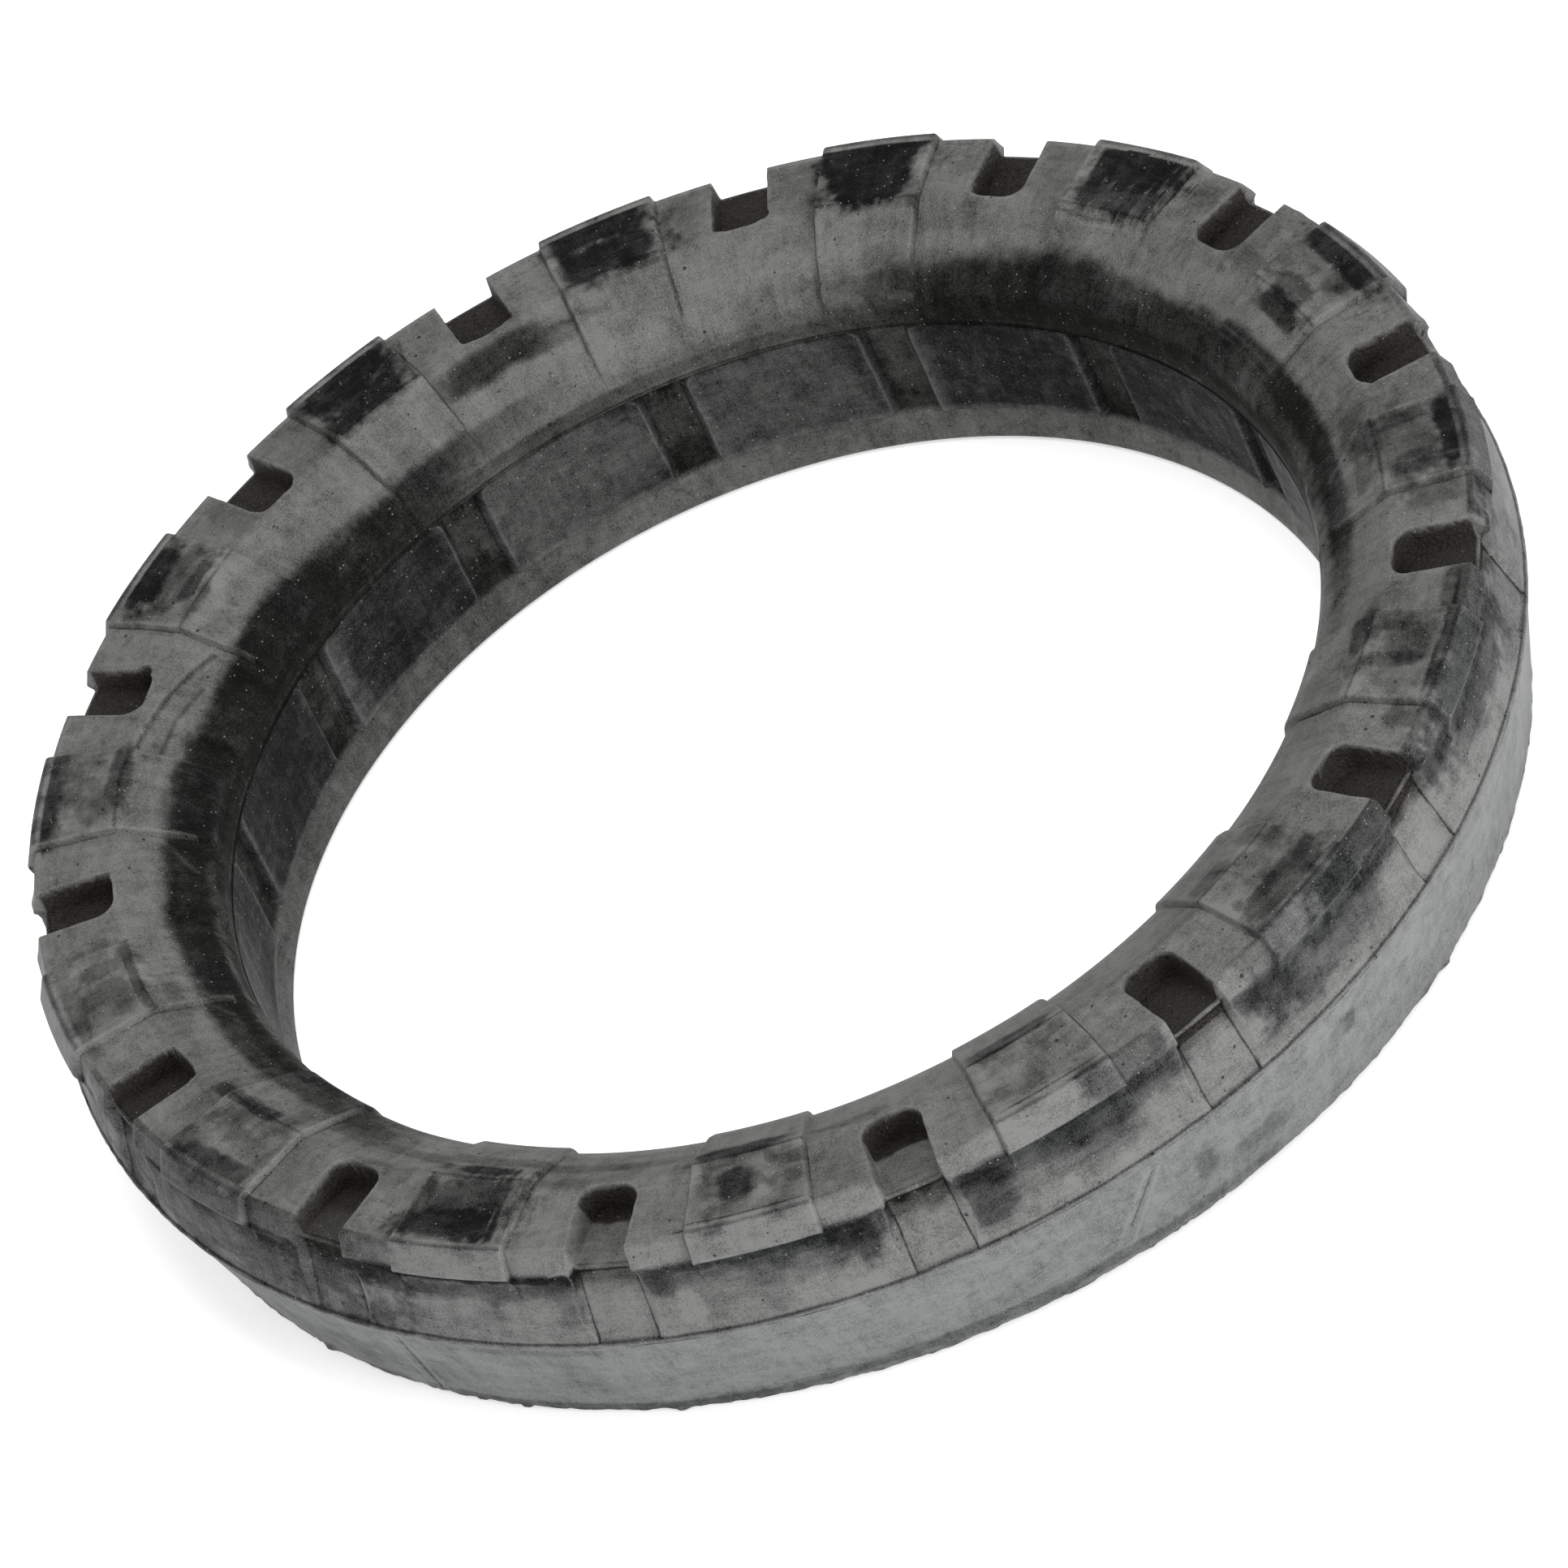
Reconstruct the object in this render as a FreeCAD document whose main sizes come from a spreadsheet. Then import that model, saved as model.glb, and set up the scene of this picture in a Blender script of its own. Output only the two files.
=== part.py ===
# Endless moulded rubber track ring, lying on its back face.
#
# Frame: millimetres, +Z along the ring's axis towards the lugged front face,
# origin at the centre of the flat back face. +X runs through the middle of one
# tread slot and the drive pad behind it.
#
# The ring has fifteen equal pitches of 24 degrees. Each pitch has one open slot
# in the front face, one raised tread lug half a pitch on, and one drive pad in
# the bore. Inside, a core ring, two bead hoops, a textile ply and a steel cord
# belt lie in a closed chamber between the front and the back cover.
import FreeCAD, Part
import os
import math
import Sketcher
import PartDesign

V = FreeCAD.Vector
doc = FreeCAD.newDocument("rubber_track")

# ---------------------------------------------------------------- dimensions
DIMS = [
    # overall
    ("pitch_count", 15),          # slots, lugs and drive pads
    ("flange_radius", 175.0),     # outer mould parting line, the largest radius
    ("parting_outer_z", 31.0),    # height of the outer parting line
    ("parting_inner_z", 37.2),    # height of the inner parting line
    ("flash_half", 0.5),          # half thickness of the parting flash
    # front face
    ("face_z", 57.5),             # low areas of the front face
    ("face_outer", 170.4),        # outer crease of the front face
    ("face_inner", 151.0),        # inner crease of the front face
    ("band_radius", 172.8),       # lower edge of the sloping shoulder band
    ("band_z", 51.6),
    ("scoop_top_r", 171.9),       # hollow below the shoulder band
    ("scoop_top_z", 48.5),
    ("scoop_mid_r", 172.1),
    ("scoop_mid_z", 43.0),
    ("scoop_low_r", 173.2),
    ("scoop_low_z", 36.5),
    ("flare_r", 174.4),           # outer wall just above the parting flash
    ("flare_z", 31.9),
    # inner slope and nose of the front cover
    ("slope_r", 136.5), ("slope_z", 50.2),
    ("nose_a_r", 133.0), ("nose_a_z", 47.6),
    ("nose_b_r", 131.2), ("nose_b_z", 44.6),
    ("seat_radius", 130.3),       # the bore that grips the wheel
    ("seat_top_z", 42.6),
    # back cover
    ("band_low_r", 166.5), ("band_low_z", 0.8),
    ("band_high_r", 174.3), ("band_high_z", 30.1),
    ("base_outer", 165.7), ("base_inner", 130.0),
    ("lip_radius", 129.2), ("lip_z", 0.8),
    ("lip_top_r", 131.6), ("lip_top_z", 9.5),
    ("groove_floor", 132.5),      # floor of the grooves between drive pads
    # closed chamber between the two covers
    ("chamber_inner", 137.0), ("chamber_outer", 164.0),
    ("chamber_low", 12.0), ("chamber_high", 45.0),
    # drive pads
    ("pad_angle", 18.55), ("pad_low_z", 9.5), ("pad_high_z", 36.9),
    ("pad_corner", 3.0),
    # tread lugs
    ("lug_angle", 9.75), ("lug_top_z", 59.2),
    # slots
    ("slot_width", 14.0), ("slot_end_r", 152.4), ("slot_floor_z", 49.6),
    ("slot_corner", 4.5), ("slot_tilt", 7.5), ("slot_run", 30.0),
    ("slot_depth", 20.0),
    ("channel_width", 14.4), ("channel_low_r", 173.4), ("channel_low_z", 32.5),
    ("channel_lean", 10.0), ("channel_run", 24.0),
    # inner pieces
    ("hoop_flat", 4.0), ("hoop_side", 3.5), ("hoop_point", 2.0),
    ("belt_thick", 2.0), ("ply_thick", 1.5),
]
sheet = doc.addObject("Spreadsheet::Sheet", "Sheet")
for n, (alias, value) in enumerate(DIMS, start=1):
    sheet.set("A%d" % n, alias)
    sheet.set("B%d" % n, str(value))
    sheet.setAlias("B%d" % n, alias)
doc.recompute()
D = dict(DIMS)


def val(expr):
    """Number for a size given as a cell name, a number or a sum of them."""
    total = 0.0
    sign = 1.0
    for word in str(expr).replace("+", " + ").replace("-", " - ").split():
        if word == "+":
            sign = 1.0
        elif word == "-":
            sign = -1.0
        else:
            if "*" in word:
                a, b = word.split("*")
                part = (D[a] if a in D else float(a)) * (D[b] if b in D else float(b))
            else:
                part = D[word] if word in D else float(word)
            total += sign * part
            sign = 1.0
    return total


def cell(expr, flip=False):
    """The same size as a spreadsheet expression."""
    out = []
    for word in str(expr).replace("+", " + ").replace("-", " - ").split():
        if word in "+-":
            out.append(word)
        else:
            out.append("*".join("Sheet." + w if w in D else w for w in word.split("*")))
    text = " ".join(out)
    return "-(%s)" % text if flip else text


def plane(body, role):
    for feature in body.Origin.OriginFeatures:
        if feature.Role == role:
            return feature
    raise RuntimeError("no " + role)


def new_body(name):
    body = doc.addObject("PartDesign::Body", name)
    body.Label = name
    return body


def sketch(body, name, role, corners, arcs=None, offset=None):
    """Closed outline. corners are pairs of sizes; arcs maps the index of the
    side that starts at a corner to (radius, centre) of a rounded side."""
    sk = body.newObject("Sketcher::SketchObject", name)
    sk.AttachmentSupport = [(plane(body, role), "")]
    sk.MapMode = "FlatFace"
    if offset is not None:
        sk.AttachmentOffset = offset
    arcs = arcs or {}
    pts = [V(val(x), val(y), 0) for x, y in corners]
    count = len(pts)
    starts, ends = [], []
    for i in range(count):
        a, b = pts[i], pts[(i + 1) % count]
        if i in arcs:
            radius, cx, cy = arcs[i]
            centre = V(val(cx), val(cy), 0)
            t0 = math.atan2(a.y - centre.y, a.x - centre.x)
            t1 = math.atan2(b.y - centre.y, b.x - centre.x)
            ccw = ((t1 - t0) % (2 * math.pi)) < math.pi
            circle = Part.Circle(centre, V(0, 0, 1), val(radius))
            if ccw:
                sk.addGeometry(Part.ArcOfCircle(circle, t0, t0 + ((t1 - t0) % (2 * math.pi))), False)
                starts.append(1)
                ends.append(2)
            else:
                sk.addGeometry(Part.ArcOfCircle(circle, t1, t1 + ((t0 - t1) % (2 * math.pi))), False)
                starts.append(2)
                ends.append(1)
        else:
            sk.addGeometry(Part.LineSegment(a, b), False)
            starts.append(1)
            ends.append(2)
    for i in range(count):
        j = (i + 1) % count
        sk.addConstraint(Sketcher.Constraint("Coincident", i, ends[i], j, starts[j]))
    for i, (x, y) in enumerate(corners):
        for kind, axis, expr, number in (("DistanceX", -2, x, val(x)), ("DistanceY", -1, y, val(y))):
            if abs(number) < 1e-9:
                sk.addConstraint(Sketcher.Constraint("PointOnObject", i, starts[i], axis))
                continue
            if number > 0:
                index = sk.addConstraint(Sketcher.Constraint(kind, -1, 1, i, starts[i], number))
                sk.setExpression("Constraints[%d]" % index, cell(expr))
            else:
                index = sk.addConstraint(Sketcher.Constraint(kind, i, starts[i], -1, 1, -number))
                sk.setExpression("Constraints[%d]" % index, cell(expr, flip=True))
    for i, (radius, cx, cy) in arcs.items():
        index = sk.addConstraint(Sketcher.Constraint("Radius", i, val(radius)))
        sk.setExpression("Constraints[%d]" % index, cell(radius))
    return sk


def revolve(body, name, sk, angle=None, groove=False):
    feature = body.newObject("PartDesign::Groove" if groove else "PartDesign::Revolution", name)
    feature.Profile = sk
    feature.ReferenceAxis = (sk, ["V_Axis"])
    if angle is None:
        feature.Angle = 360.0
    else:
        feature.Midplane = True
        feature.Angle = val(angle)
        feature.setExpression("Angle", cell(angle))
    return feature


# -------------------------------------------------------------- front cover
front = new_body("front_tread_cover")
front_outline = [
    ("flange_radius", "parting_outer_z"),
    ("flange_radius", "parting_outer_z+flash_half"),
    ("flare_r", "flare_z"),
    ("scoop_low_r", "scoop_low_z"),
    ("scoop_mid_r", "scoop_mid_z"),
    ("scoop_top_r", "scoop_top_z"),
    ("band_radius", "band_z"),
    ("face_outer", "face_z"),
    ("face_inner", "face_z"),
    ("slope_r", "slope_z"),
    ("nose_a_r", "nose_a_z"),
    ("nose_b_r", "nose_b_z"),
    ("seat_radius", "seat_top_z"),
    ("seat_radius", "parting_inner_z"),
    ("chamber_inner", "parting_inner_z"),
    ("chamber_inner", "chamber_high"),
    ("chamber_outer", "chamber_high"),
    ("chamber_outer", "parting_outer_z"),
]
sk = sketch(front, "front_section", "XZ_Plane", front_outline)
front_ring = revolve(front, "front_ring", sk)

# A lug wraps over the shoulder band, the front face and the inner slope. Its
# root sits in a seat of the same outline in the front cover.
lug_outline = [
    ("scoop_top_r+0.04", "scoop_top_z-1.0"),
    ("band_radius+1.2", "band_z+0.8"),
    ("face_outer+0.6", "lug_top_z"),
    ("face_inner-0.4", "lug_top_z"),
    ("slope_r-0.5", "slope_z+1.4"),
    ("nose_a_r-0.7", "nose_a_z+0.8"),
    ("nose_b_r", "nose_b_z"),
    ("nose_b_r+3.4", "nose_b_z+0.9"),
    ("slope_r+2.0", "slope_z-2.4"),
    ("face_inner+0.5", "face_z-3.0"),
    ("face_outer-2.1", "face_z-3.0"),
    ("face_outer-0.9", "band_z-0.8"),
    ("face_outer-0.9", "scoop_top_z-0.8"),
]
half_pitch = 180.0 / D["pitch_count"]
turned = FreeCAD.Placement(V(0, 0, 0), FreeCAD.Rotation(V(0, 1, 0), half_pitch))
sk = sketch(front, "lug_seat_section", "XZ_Plane", lug_outline, offset=turned)
sk.setExpression("AttachmentOffset.Rotation.Angle", "180 / Sheet.pitch_count")
lug_seat = revolve(front, "lug_seat", sk, angle="lug_angle", groove=True)
doc.recompute()
v_after_seat = lug_seat.Shape.Volume

# Slot: a U in plan, open at the outer side, with a floor that rises outwards.
slot_outline = [
    ("slot_corner", "-0.5*slot_width"),
    ("slot_run", "-0.5*slot_width"),
    ("slot_run", "0.5*slot_width"),
    ("slot_corner", "0.5*slot_width"),
    ("0", "0.5*slot_width-slot_corner"),
    ("0", "slot_corner-0.5*slot_width"),
]
slot_arcs = {
    3: ("slot_corner", "slot_corner", "0.5*slot_width-slot_corner"),
    5: ("slot_corner", "slot_corner", "slot_corner-0.5*slot_width"),
}
slot_place = FreeCAD.Placement(
    V(D["slot_end_r"], 0, D["slot_floor_z"]),
    FreeCAD.Rotation(V(0, 1, 0), -D["slot_tilt"]),
)
sk = sketch(front, "slot_plan", "XY_Plane", slot_outline, arcs=slot_arcs, offset=slot_place)
sk.setExpression("AttachmentOffset.Base.x", "Sheet.slot_end_r")
sk.setExpression("AttachmentOffset.Base.z", "Sheet.slot_floor_z")
doc.recompute()
slot = front.newObject("PartDesign::Pocket", "slot")
slot.Profile = sk
slot.Type = 0
slot.Length = D["slot_depth"]
slot.setExpression("Length", "Sheet.slot_depth")
slot.Reversed = True
doc.recompute()
v_after_slot = slot.Shape.Volume

# Channel: the slot carries on down the outer wall to the parting line.
channel_outline = [
    ("-0.5*channel_width", "0"),
    ("0.5*channel_width", "0"),
    ("0.5*channel_width", "channel_run"),
    ("-0.5*channel_width", "channel_run"),
]
channel_place = FreeCAD.Placement(
    V(0, D["channel_low_z"], D["channel_low_r"]),
    FreeCAD.Rotation(V(1, 0, 0), -D["channel_lean"]),
)
sk = sketch(front, "channel_face", "YZ_Plane", channel_outline, offset=channel_place)
sk.setExpression("AttachmentOffset.Base.y", "Sheet.channel_low_z")
sk.setExpression("AttachmentOffset.Base.z", "Sheet.channel_low_r")
doc.recompute()
channel = front.newObject("PartDesign::Pocket", "channel")
channel.Profile = sk
channel.Type = 0
channel.Length = 12.0
channel.Reversed = True
doc.recompute()
v_after_channel = channel.Shape.Volume

pattern = front.newObject("PartDesign::PolarPattern", "pitches")
pattern.Originals = [lug_seat, slot, channel]
pattern.Axis = (plane(front, "Z_Axis"), [""])
pattern.Angle = 360.0
pattern.Occurrences = D["pitch_count"]
pattern.setExpression("Occurrences", "Sheet.pitch_count")
front.Tip = pattern
doc.recompute()

# --------------------------------------------------------------- back cover
back = new_body("back_cover")
back_outline = [
    ("flange_radius", "parting_outer_z"),
    ("flange_radius", "parting_outer_z-flash_half"),
    ("band_high_r", "band_high_z"),
    ("band_low_r", "band_low_z"),
    ("base_outer", "0"),
    ("base_inner", "0"),
    ("lip_radius", "lip_z"),
    ("lip_top_r", "lip_top_z"),
    ("groove_floor", "lip_top_z"),
    ("groove_floor", "parting_inner_z"),
    ("chamber_inner", "parting_inner_z"),
    ("chamber_inner", "chamber_low"),
    ("chamber_outer", "chamber_low"),
    ("chamber_outer", "parting_outer_z"),
]
sk = sketch(back, "back_section", "XZ_Plane", back_outline)
revolve(back, "back_ring", sk)

# --------------------------------------------------------------- drive pads
pad_outline = [
    ("seat_radius", "pad_low_z"),
    ("groove_floor", "pad_low_z"),
    ("groove_floor", "pad_high_z"),
    ("seat_radius", "pad_high_z"),
]
nodes = ["front_tread_cover", "back_cover"]
for i in range(int(D["pitch_count"])):
    name = "drive_pad_%02d" % (i + 1)
    body = new_body(name)
    sk = sketch(body, "pad_section_%02d" % (i + 1), "XZ_Plane", pad_outline)
    block = revolve(body, "pad_block_%02d" % (i + 1), sk, angle="pad_angle")
    doc.recompute()
    chosen = []
    for n, edge in enumerate(block.Shape.Edges, start=1):
        a, b = edge.Vertexes[0].Point, edge.Vertexes[-1].Point
        same_height = abs(a.z - b.z) < 1e-6 and abs(a.z - D["pad_high_z"]) < 1e-6
        radial = abs(math.hypot(a.x, a.y) - math.hypot(b.x, b.y)) > 1.0
        if same_height and radial:
            chosen.append("Edge%d" % n)
    rounded = body.newObject("PartDesign::Fillet", "pad_corners_%02d" % (i + 1))
    rounded.Base = (block, chosen)
    rounded.Radius = D["pad_corner"]
    rounded.setExpression("Radius", "Sheet.pad_corner")
    body.Tip = rounded
    body.Placement = FreeCAD.Placement(V(0, 0, 0), FreeCAD.Rotation(V(0, 0, 1), i * 2 * half_pitch))
    nodes.append(name)

# --------------------------------------------------------------- tread lugs
for i in range(int(D["pitch_count"])):
    name = "tread_lug_%02d" % (i + 1)
    body = new_body(name)
    sk = sketch(body, "lug_section_%02d" % (i + 1), "XZ_Plane", lug_outline)
    revolve(body, "lug_block_%02d" % (i + 1), sk, angle="lug_angle")
    body.Placement = FreeCAD.Placement(V(0, 0, 0), FreeCAD.Rotation(V(0, 0, 1), (2 * i + 1) * half_pitch))
    nodes.append(name)

# ------------------------------------------------------ pieces in the chamber
# Bead hoops: hexagonal bundles of steel wire at the two inner corners.
hoop_back_outline = [
    ("chamber_inner+hoop_point", "chamber_low"),
    ("chamber_inner+hoop_point+hoop_flat", "chamber_low"),
    ("chamber_inner+2*hoop_point+hoop_flat", "chamber_low+hoop_side"),
    ("chamber_inner+hoop_point+hoop_flat", "chamber_low+2*hoop_side"),
    ("chamber_inner+hoop_point", "chamber_low+2*hoop_side"),
    ("chamber_inner", "chamber_low+hoop_side"),
]
hoop_front_outline = [
    ("chamber_inner+hoop_point", "chamber_high-2*hoop_side"),
    ("chamber_inner+hoop_point+hoop_flat", "chamber_high-2*hoop_side"),
    ("chamber_inner+2*hoop_point+hoop_flat", "chamber_high-hoop_side"),
    ("chamber_inner+hoop_point+hoop_flat", "chamber_high"),
    ("chamber_inner+hoop_point", "chamber_high"),
    ("chamber_inner", "chamber_high-hoop_side"),
]
for name, outline in (("bead_hoop_back", hoop_back_outline), ("bead_hoop_front", hoop_front_outline)):
    body = new_body(name)
    sk = sketch(body, name + "_section", "XZ_Plane", outline)
    revolve(body, name + "_ring", sk)
    nodes.append(name)

# Core ring: fills the chamber between the hoops, the ply and the belt.
core = new_body("core_ring")
core_outline = [
    ("chamber_inner+hoop_point+hoop_flat", "chamber_low"),
    ("chamber_outer-belt_thick", "chamber_low"),
    ("chamber_outer-belt_thick", "chamber_high"),
    ("chamber_inner+hoop_point+hoop_flat", "chamber_high"),
    ("chamber_inner+2*hoop_point+hoop_flat", "chamber_high-hoop_side"),
    ("chamber_inner+hoop_point+hoop_flat", "chamber_high-2*hoop_side"),
    ("chamber_inner+ply_thick", "chamber_high-2*hoop_side"),
    ("chamber_inner+ply_thick", "chamber_low+2*hoop_side"),
    ("chamber_inner+hoop_point+hoop_flat", "chamber_low+2*hoop_side"),
    ("chamber_inner+2*hoop_point+hoop_flat", "chamber_low+hoop_side"),
]
sk = sketch(core, "core_section", "XZ_Plane", core_outline)
revolve(core, "core_block", sk)
nodes.append("core_ring")


def sleeve(name, outer, inner, low, high):
    """Thin round sleeve: one cylinder cut by another."""
    big = doc.addObject("Part::Cylinder", name + "_outside")
    small = doc.addObject("Part::Cylinder", name + "_inside")
    for solid, radius in ((big, outer), (small, inner)):
        solid.setExpression("Radius", cell(radius))
        solid.setExpression("Height", "(%s) - (%s)" % (cell(high), cell(low)))
        solid.setExpression("Placement.Base.z", cell(low))
    cut = doc.addObject("Part::Cut", name)
    cut.Base = big
    cut.Tool = small
    cut.Label = name
    nodes.append(name)


sleeve("steel_cord_belt", "chamber_outer", "chamber_outer-belt_thick", "chamber_low", "chamber_high")
sleeve("textile_ply", "chamber_inner+ply_thick", "chamber_inner", "chamber_low+2*hoop_side", "chamber_high-2*hoop_side")

# ------------------------------------------------------------------- checks
doc.recompute()
bad = []
for obj in doc.Objects:
    state = [str(s) for s in obj.State]
    if "Invalid" in state or "Error" in state:
        bad.append((obj.Name, state))
if bad:
    raise RuntimeError("failed objects: %s" % bad)
if not (front_ring.Shape.Volume > v_after_seat > v_after_slot > v_after_channel > pattern.Shape.Volume):
    raise RuntimeError("a cut in the front cover removed nothing")

os.makedirs("parts", exist_ok=True)
by_label = {}
for obj in doc.Objects:
    if obj.TypeId in ("PartDesign::Body", "Part::Cut"):
        by_label[obj.Label] = obj
total = 0.0
for name in nodes:
    obj = by_label[name]
    shape = obj.Shape
    if shape.isNull() or not shape.isValid() or len(shape.Solids) != 1:
        raise RuntimeError("bad shape: " + name)
    total += shape.Volume
for name in nodes:
    shape = by_label[name].Shape
    shape.exportStep("parts/%s.step" % name)
    box = shape.BoundBox
    if not name.startswith(("drive_pad", "tread_lug")) or name.endswith("_01"):
        print("%-20s volume %.0f mm3  box x %.1f..%.1f y %.1f..%.1f z %.1f..%.1f" % (
            name, shape.Volume, box.XMin, box.XMax, box.YMin, box.YMax, box.ZMin, box.ZMax))
print("nodes", len(nodes), "total volume", round(total))
print("one seat", round(front_ring.Shape.Volume - v_after_seat), "one slot", round(v_after_seat - v_after_slot),
      "one channel", round(v_after_slot - v_after_channel))
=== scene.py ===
# Looks for the moulded rubber track ring: finished rubber meshes around the CAD frame.
import bmesh
import bpy
import math
import numpy as np
from mathutils import Matrix, Vector


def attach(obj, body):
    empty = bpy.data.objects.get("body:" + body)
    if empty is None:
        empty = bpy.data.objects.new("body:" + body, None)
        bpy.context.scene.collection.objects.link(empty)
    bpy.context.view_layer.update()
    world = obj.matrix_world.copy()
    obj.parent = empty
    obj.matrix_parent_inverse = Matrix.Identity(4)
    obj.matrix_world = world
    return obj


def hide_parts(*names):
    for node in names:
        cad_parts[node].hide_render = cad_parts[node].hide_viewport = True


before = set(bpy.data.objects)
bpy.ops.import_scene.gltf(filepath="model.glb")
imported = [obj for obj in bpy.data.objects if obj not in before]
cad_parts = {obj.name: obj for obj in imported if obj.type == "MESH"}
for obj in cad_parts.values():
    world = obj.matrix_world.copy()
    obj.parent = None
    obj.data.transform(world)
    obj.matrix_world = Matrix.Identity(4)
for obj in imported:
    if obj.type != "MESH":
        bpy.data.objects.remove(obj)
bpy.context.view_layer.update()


MM = 0.001
N = 15
PITCH = 24.0

# ----------------------------------------------------------------------------
# Small numeric helpers
# ----------------------------------------------------------------------------


def smooth(a, b, x):
    t = np.clip((np.asarray(x, float) - a) / (b - a), 0.0, 1.0)
    return t * t * (3.0 - 2.0 * t)


def bump(x, centre, half):
    """1 at centre, 0 beyond half, smooth."""
    return 1.0 - smooth(0.0, half, np.abs(np.asarray(x, float) - centre))


def lattice(ix, iy, iz, seed):
    with np.errstate(over="ignore"):
        h = (ix.astype(np.int64) * 73856093) ^ (iy.astype(np.int64) * 19349663) ^ (iz.astype(np.int64) * 83492791)
        h = (h ^ (seed * 265443576)) & 0xFFFFFFFF
        h = ((h ^ (h >> 13)) * 1274126177) & 0xFFFFFFFF
        h = ((h ^ (h >> 16)) * 668265263) & 0xFFFFFFFF
        h = h ^ (h >> 15)
    return (h & 0xFFFFFF) / float(0xFFFFFF)


def noise(p, size, seed=1):
    """Value noise, -1 to 1, of points p in mm, with cells of that size."""
    q = p / size
    i = np.floor(q)
    f = q - i
    u = f * f * f * (f * (f * 6 - 15) + 10)
    i = i.astype(np.int64)
    out = 0.0
    for dx in (0, 1):
        wx = u[..., 0] if dx else 1 - u[..., 0]
        for dy in (0, 1):
            wy = u[..., 1] if dy else 1 - u[..., 1]
            for dz in (0, 1):
                wz = u[..., 2] if dz else 1 - u[..., 2]
                out = out + wx * wy * wz * lattice(i[..., 0] + dx, i[..., 1] + dy, i[..., 2] + dz, seed)
    return out * 2.0 - 1.0


def fbm(p, size, seed=1, octaves=3):
    total, amp, norm = 0.0, 1.0, 0.0
    for o in range(octaves):
        total = total + amp * noise(p, size / 2 ** o, seed + 17 * o)
        norm += amp
        amp *= 0.5
    return total / norm


def rounded(points, radii, step=0.5):
    """Polyline with its corners rounded, as a dense list of points."""
    pts = [np.array(p, float) for p in points]
    out = [pts[0]]
    for i in range(1, len(pts) - 1):
        a, b, c = pts[i - 1], pts[i], pts[i + 1]
        rad = radii[i]
        u = (a - b) / np.linalg.norm(a - b)
        w = (c - b) / np.linalg.norm(c - b)
        cosang = float(np.clip(np.dot(u, w), -1, 1))
        ang = math.acos(cosang)
        if rad <= 0 or abs(ang - math.pi) < 1e-3:
            out.append(b)
            continue
        cut = rad / math.tan(ang / 2)
        cut = min(cut, 0.48 * np.linalg.norm(a - b), 0.48 * np.linalg.norm(c - b))
        rad = cut * math.tan(ang / 2)
        p0, p1 = b + u * cut, b + w * cut
        m = (u + w) / np.linalg.norm(u + w)
        centre = b + m * (rad / math.sin(ang / 2))
        a0 = math.atan2(*(p0 - centre)[::-1])
        a1 = math.atan2(*(p1 - centre)[::-1])
        d = (a1 - a0 + math.pi) % (2 * math.pi) - math.pi
        n = max(3, int(abs(d) * rad / step) + 2)
        for t in np.linspace(0, 1, n):
            out.append(centre + rad * np.array([math.cos(a0 + d * t), math.sin(a0 + d * t)]))
    out.append(pts[-1])
    return np.array(out)


def resample(poly, marks):
    """Points of a polyline at those fractions of its length."""
    seg = np.hypot(*np.diff(poly, axis=0).T)
    s = np.r_[0, np.cumsum(seg)]
    s /= s[-1]
    return np.stack([np.interp(marks, s, poly[:, 0]), np.interp(marks, s, poly[:, 1])], -1)


def spread(count, dense=(0.0, 1.0), strength=0.0):
    """count+1 fractions from 0 to 1, closer together at both ends."""
    t = np.linspace(0, 1, count + 1)
    return t + strength * -np.sin(2 * math.pi * t) / (2 * math.pi)


# ----------------------------------------------------------------------------
# Meshes
# ----------------------------------------------------------------------------


def mesh_object(name, verts, faces, attributes=None, weld=False):
    """verts in mm."""
    verts = np.asarray(verts, float)
    faces = np.asarray(faces, np.int64)
    a, b, c, d = (verts[faces[:, i]] for i in range(4))
    volume = (np.einsum("ij,ij->i", a, np.cross(b, c)) + np.einsum("ij,ij->i", a, np.cross(c, d))).sum() / 6
    if volume < 0:
        faces = faces[:, ::-1]
    me = bpy.data.meshes.new(name)
    me.vertices.add(len(verts))
    me.vertices.foreach_set("co", (verts * MM).astype(np.float32).ravel())
    me.loops.add(faces.size)
    me.loops.foreach_set("vertex_index", faces.astype(np.int32).ravel())
    me.polygons.add(len(faces))
    me.polygons.foreach_set("loop_start", np.arange(0, faces.size, 4, dtype=np.int32))
    me.polygons.foreach_set("use_smooth", np.ones(len(faces), bool))
    me.update(calc_edges=True)
    for key, values in (attributes or {}).items():
        at = me.attributes.new(key, "FLOAT", "POINT")
        at.data.foreach_set("value", np.asarray(values, np.float32).ravel())
    if weld:
        # the hidden underside has columns that fall on one another
        bm = bmesh.new()
        bm.from_mesh(me)
        bmesh.ops.remove_doubles(bm, verts=bm.verts[:], dist=4e-7)
        bm.to_mesh(me)
        bm.free()
    me.validate()
    ob = bpy.data.objects.new(name, me)
    bpy.context.scene.collection.objects.link(ob)
    return ob


def ring_faces(nc, nr):
    """Quads of a grid that closes on itself both ways."""
    i, j = np.meshgrid(np.arange(nc), np.arange(nr), indexing="ij")
    i2, j2 = (i + 1) % nc, (j + 1) % nr
    return np.stack([i * nr + j, i2 * nr + j, i2 * nr + j2, i * nr + j2], -1).reshape(-1, 4)


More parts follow.
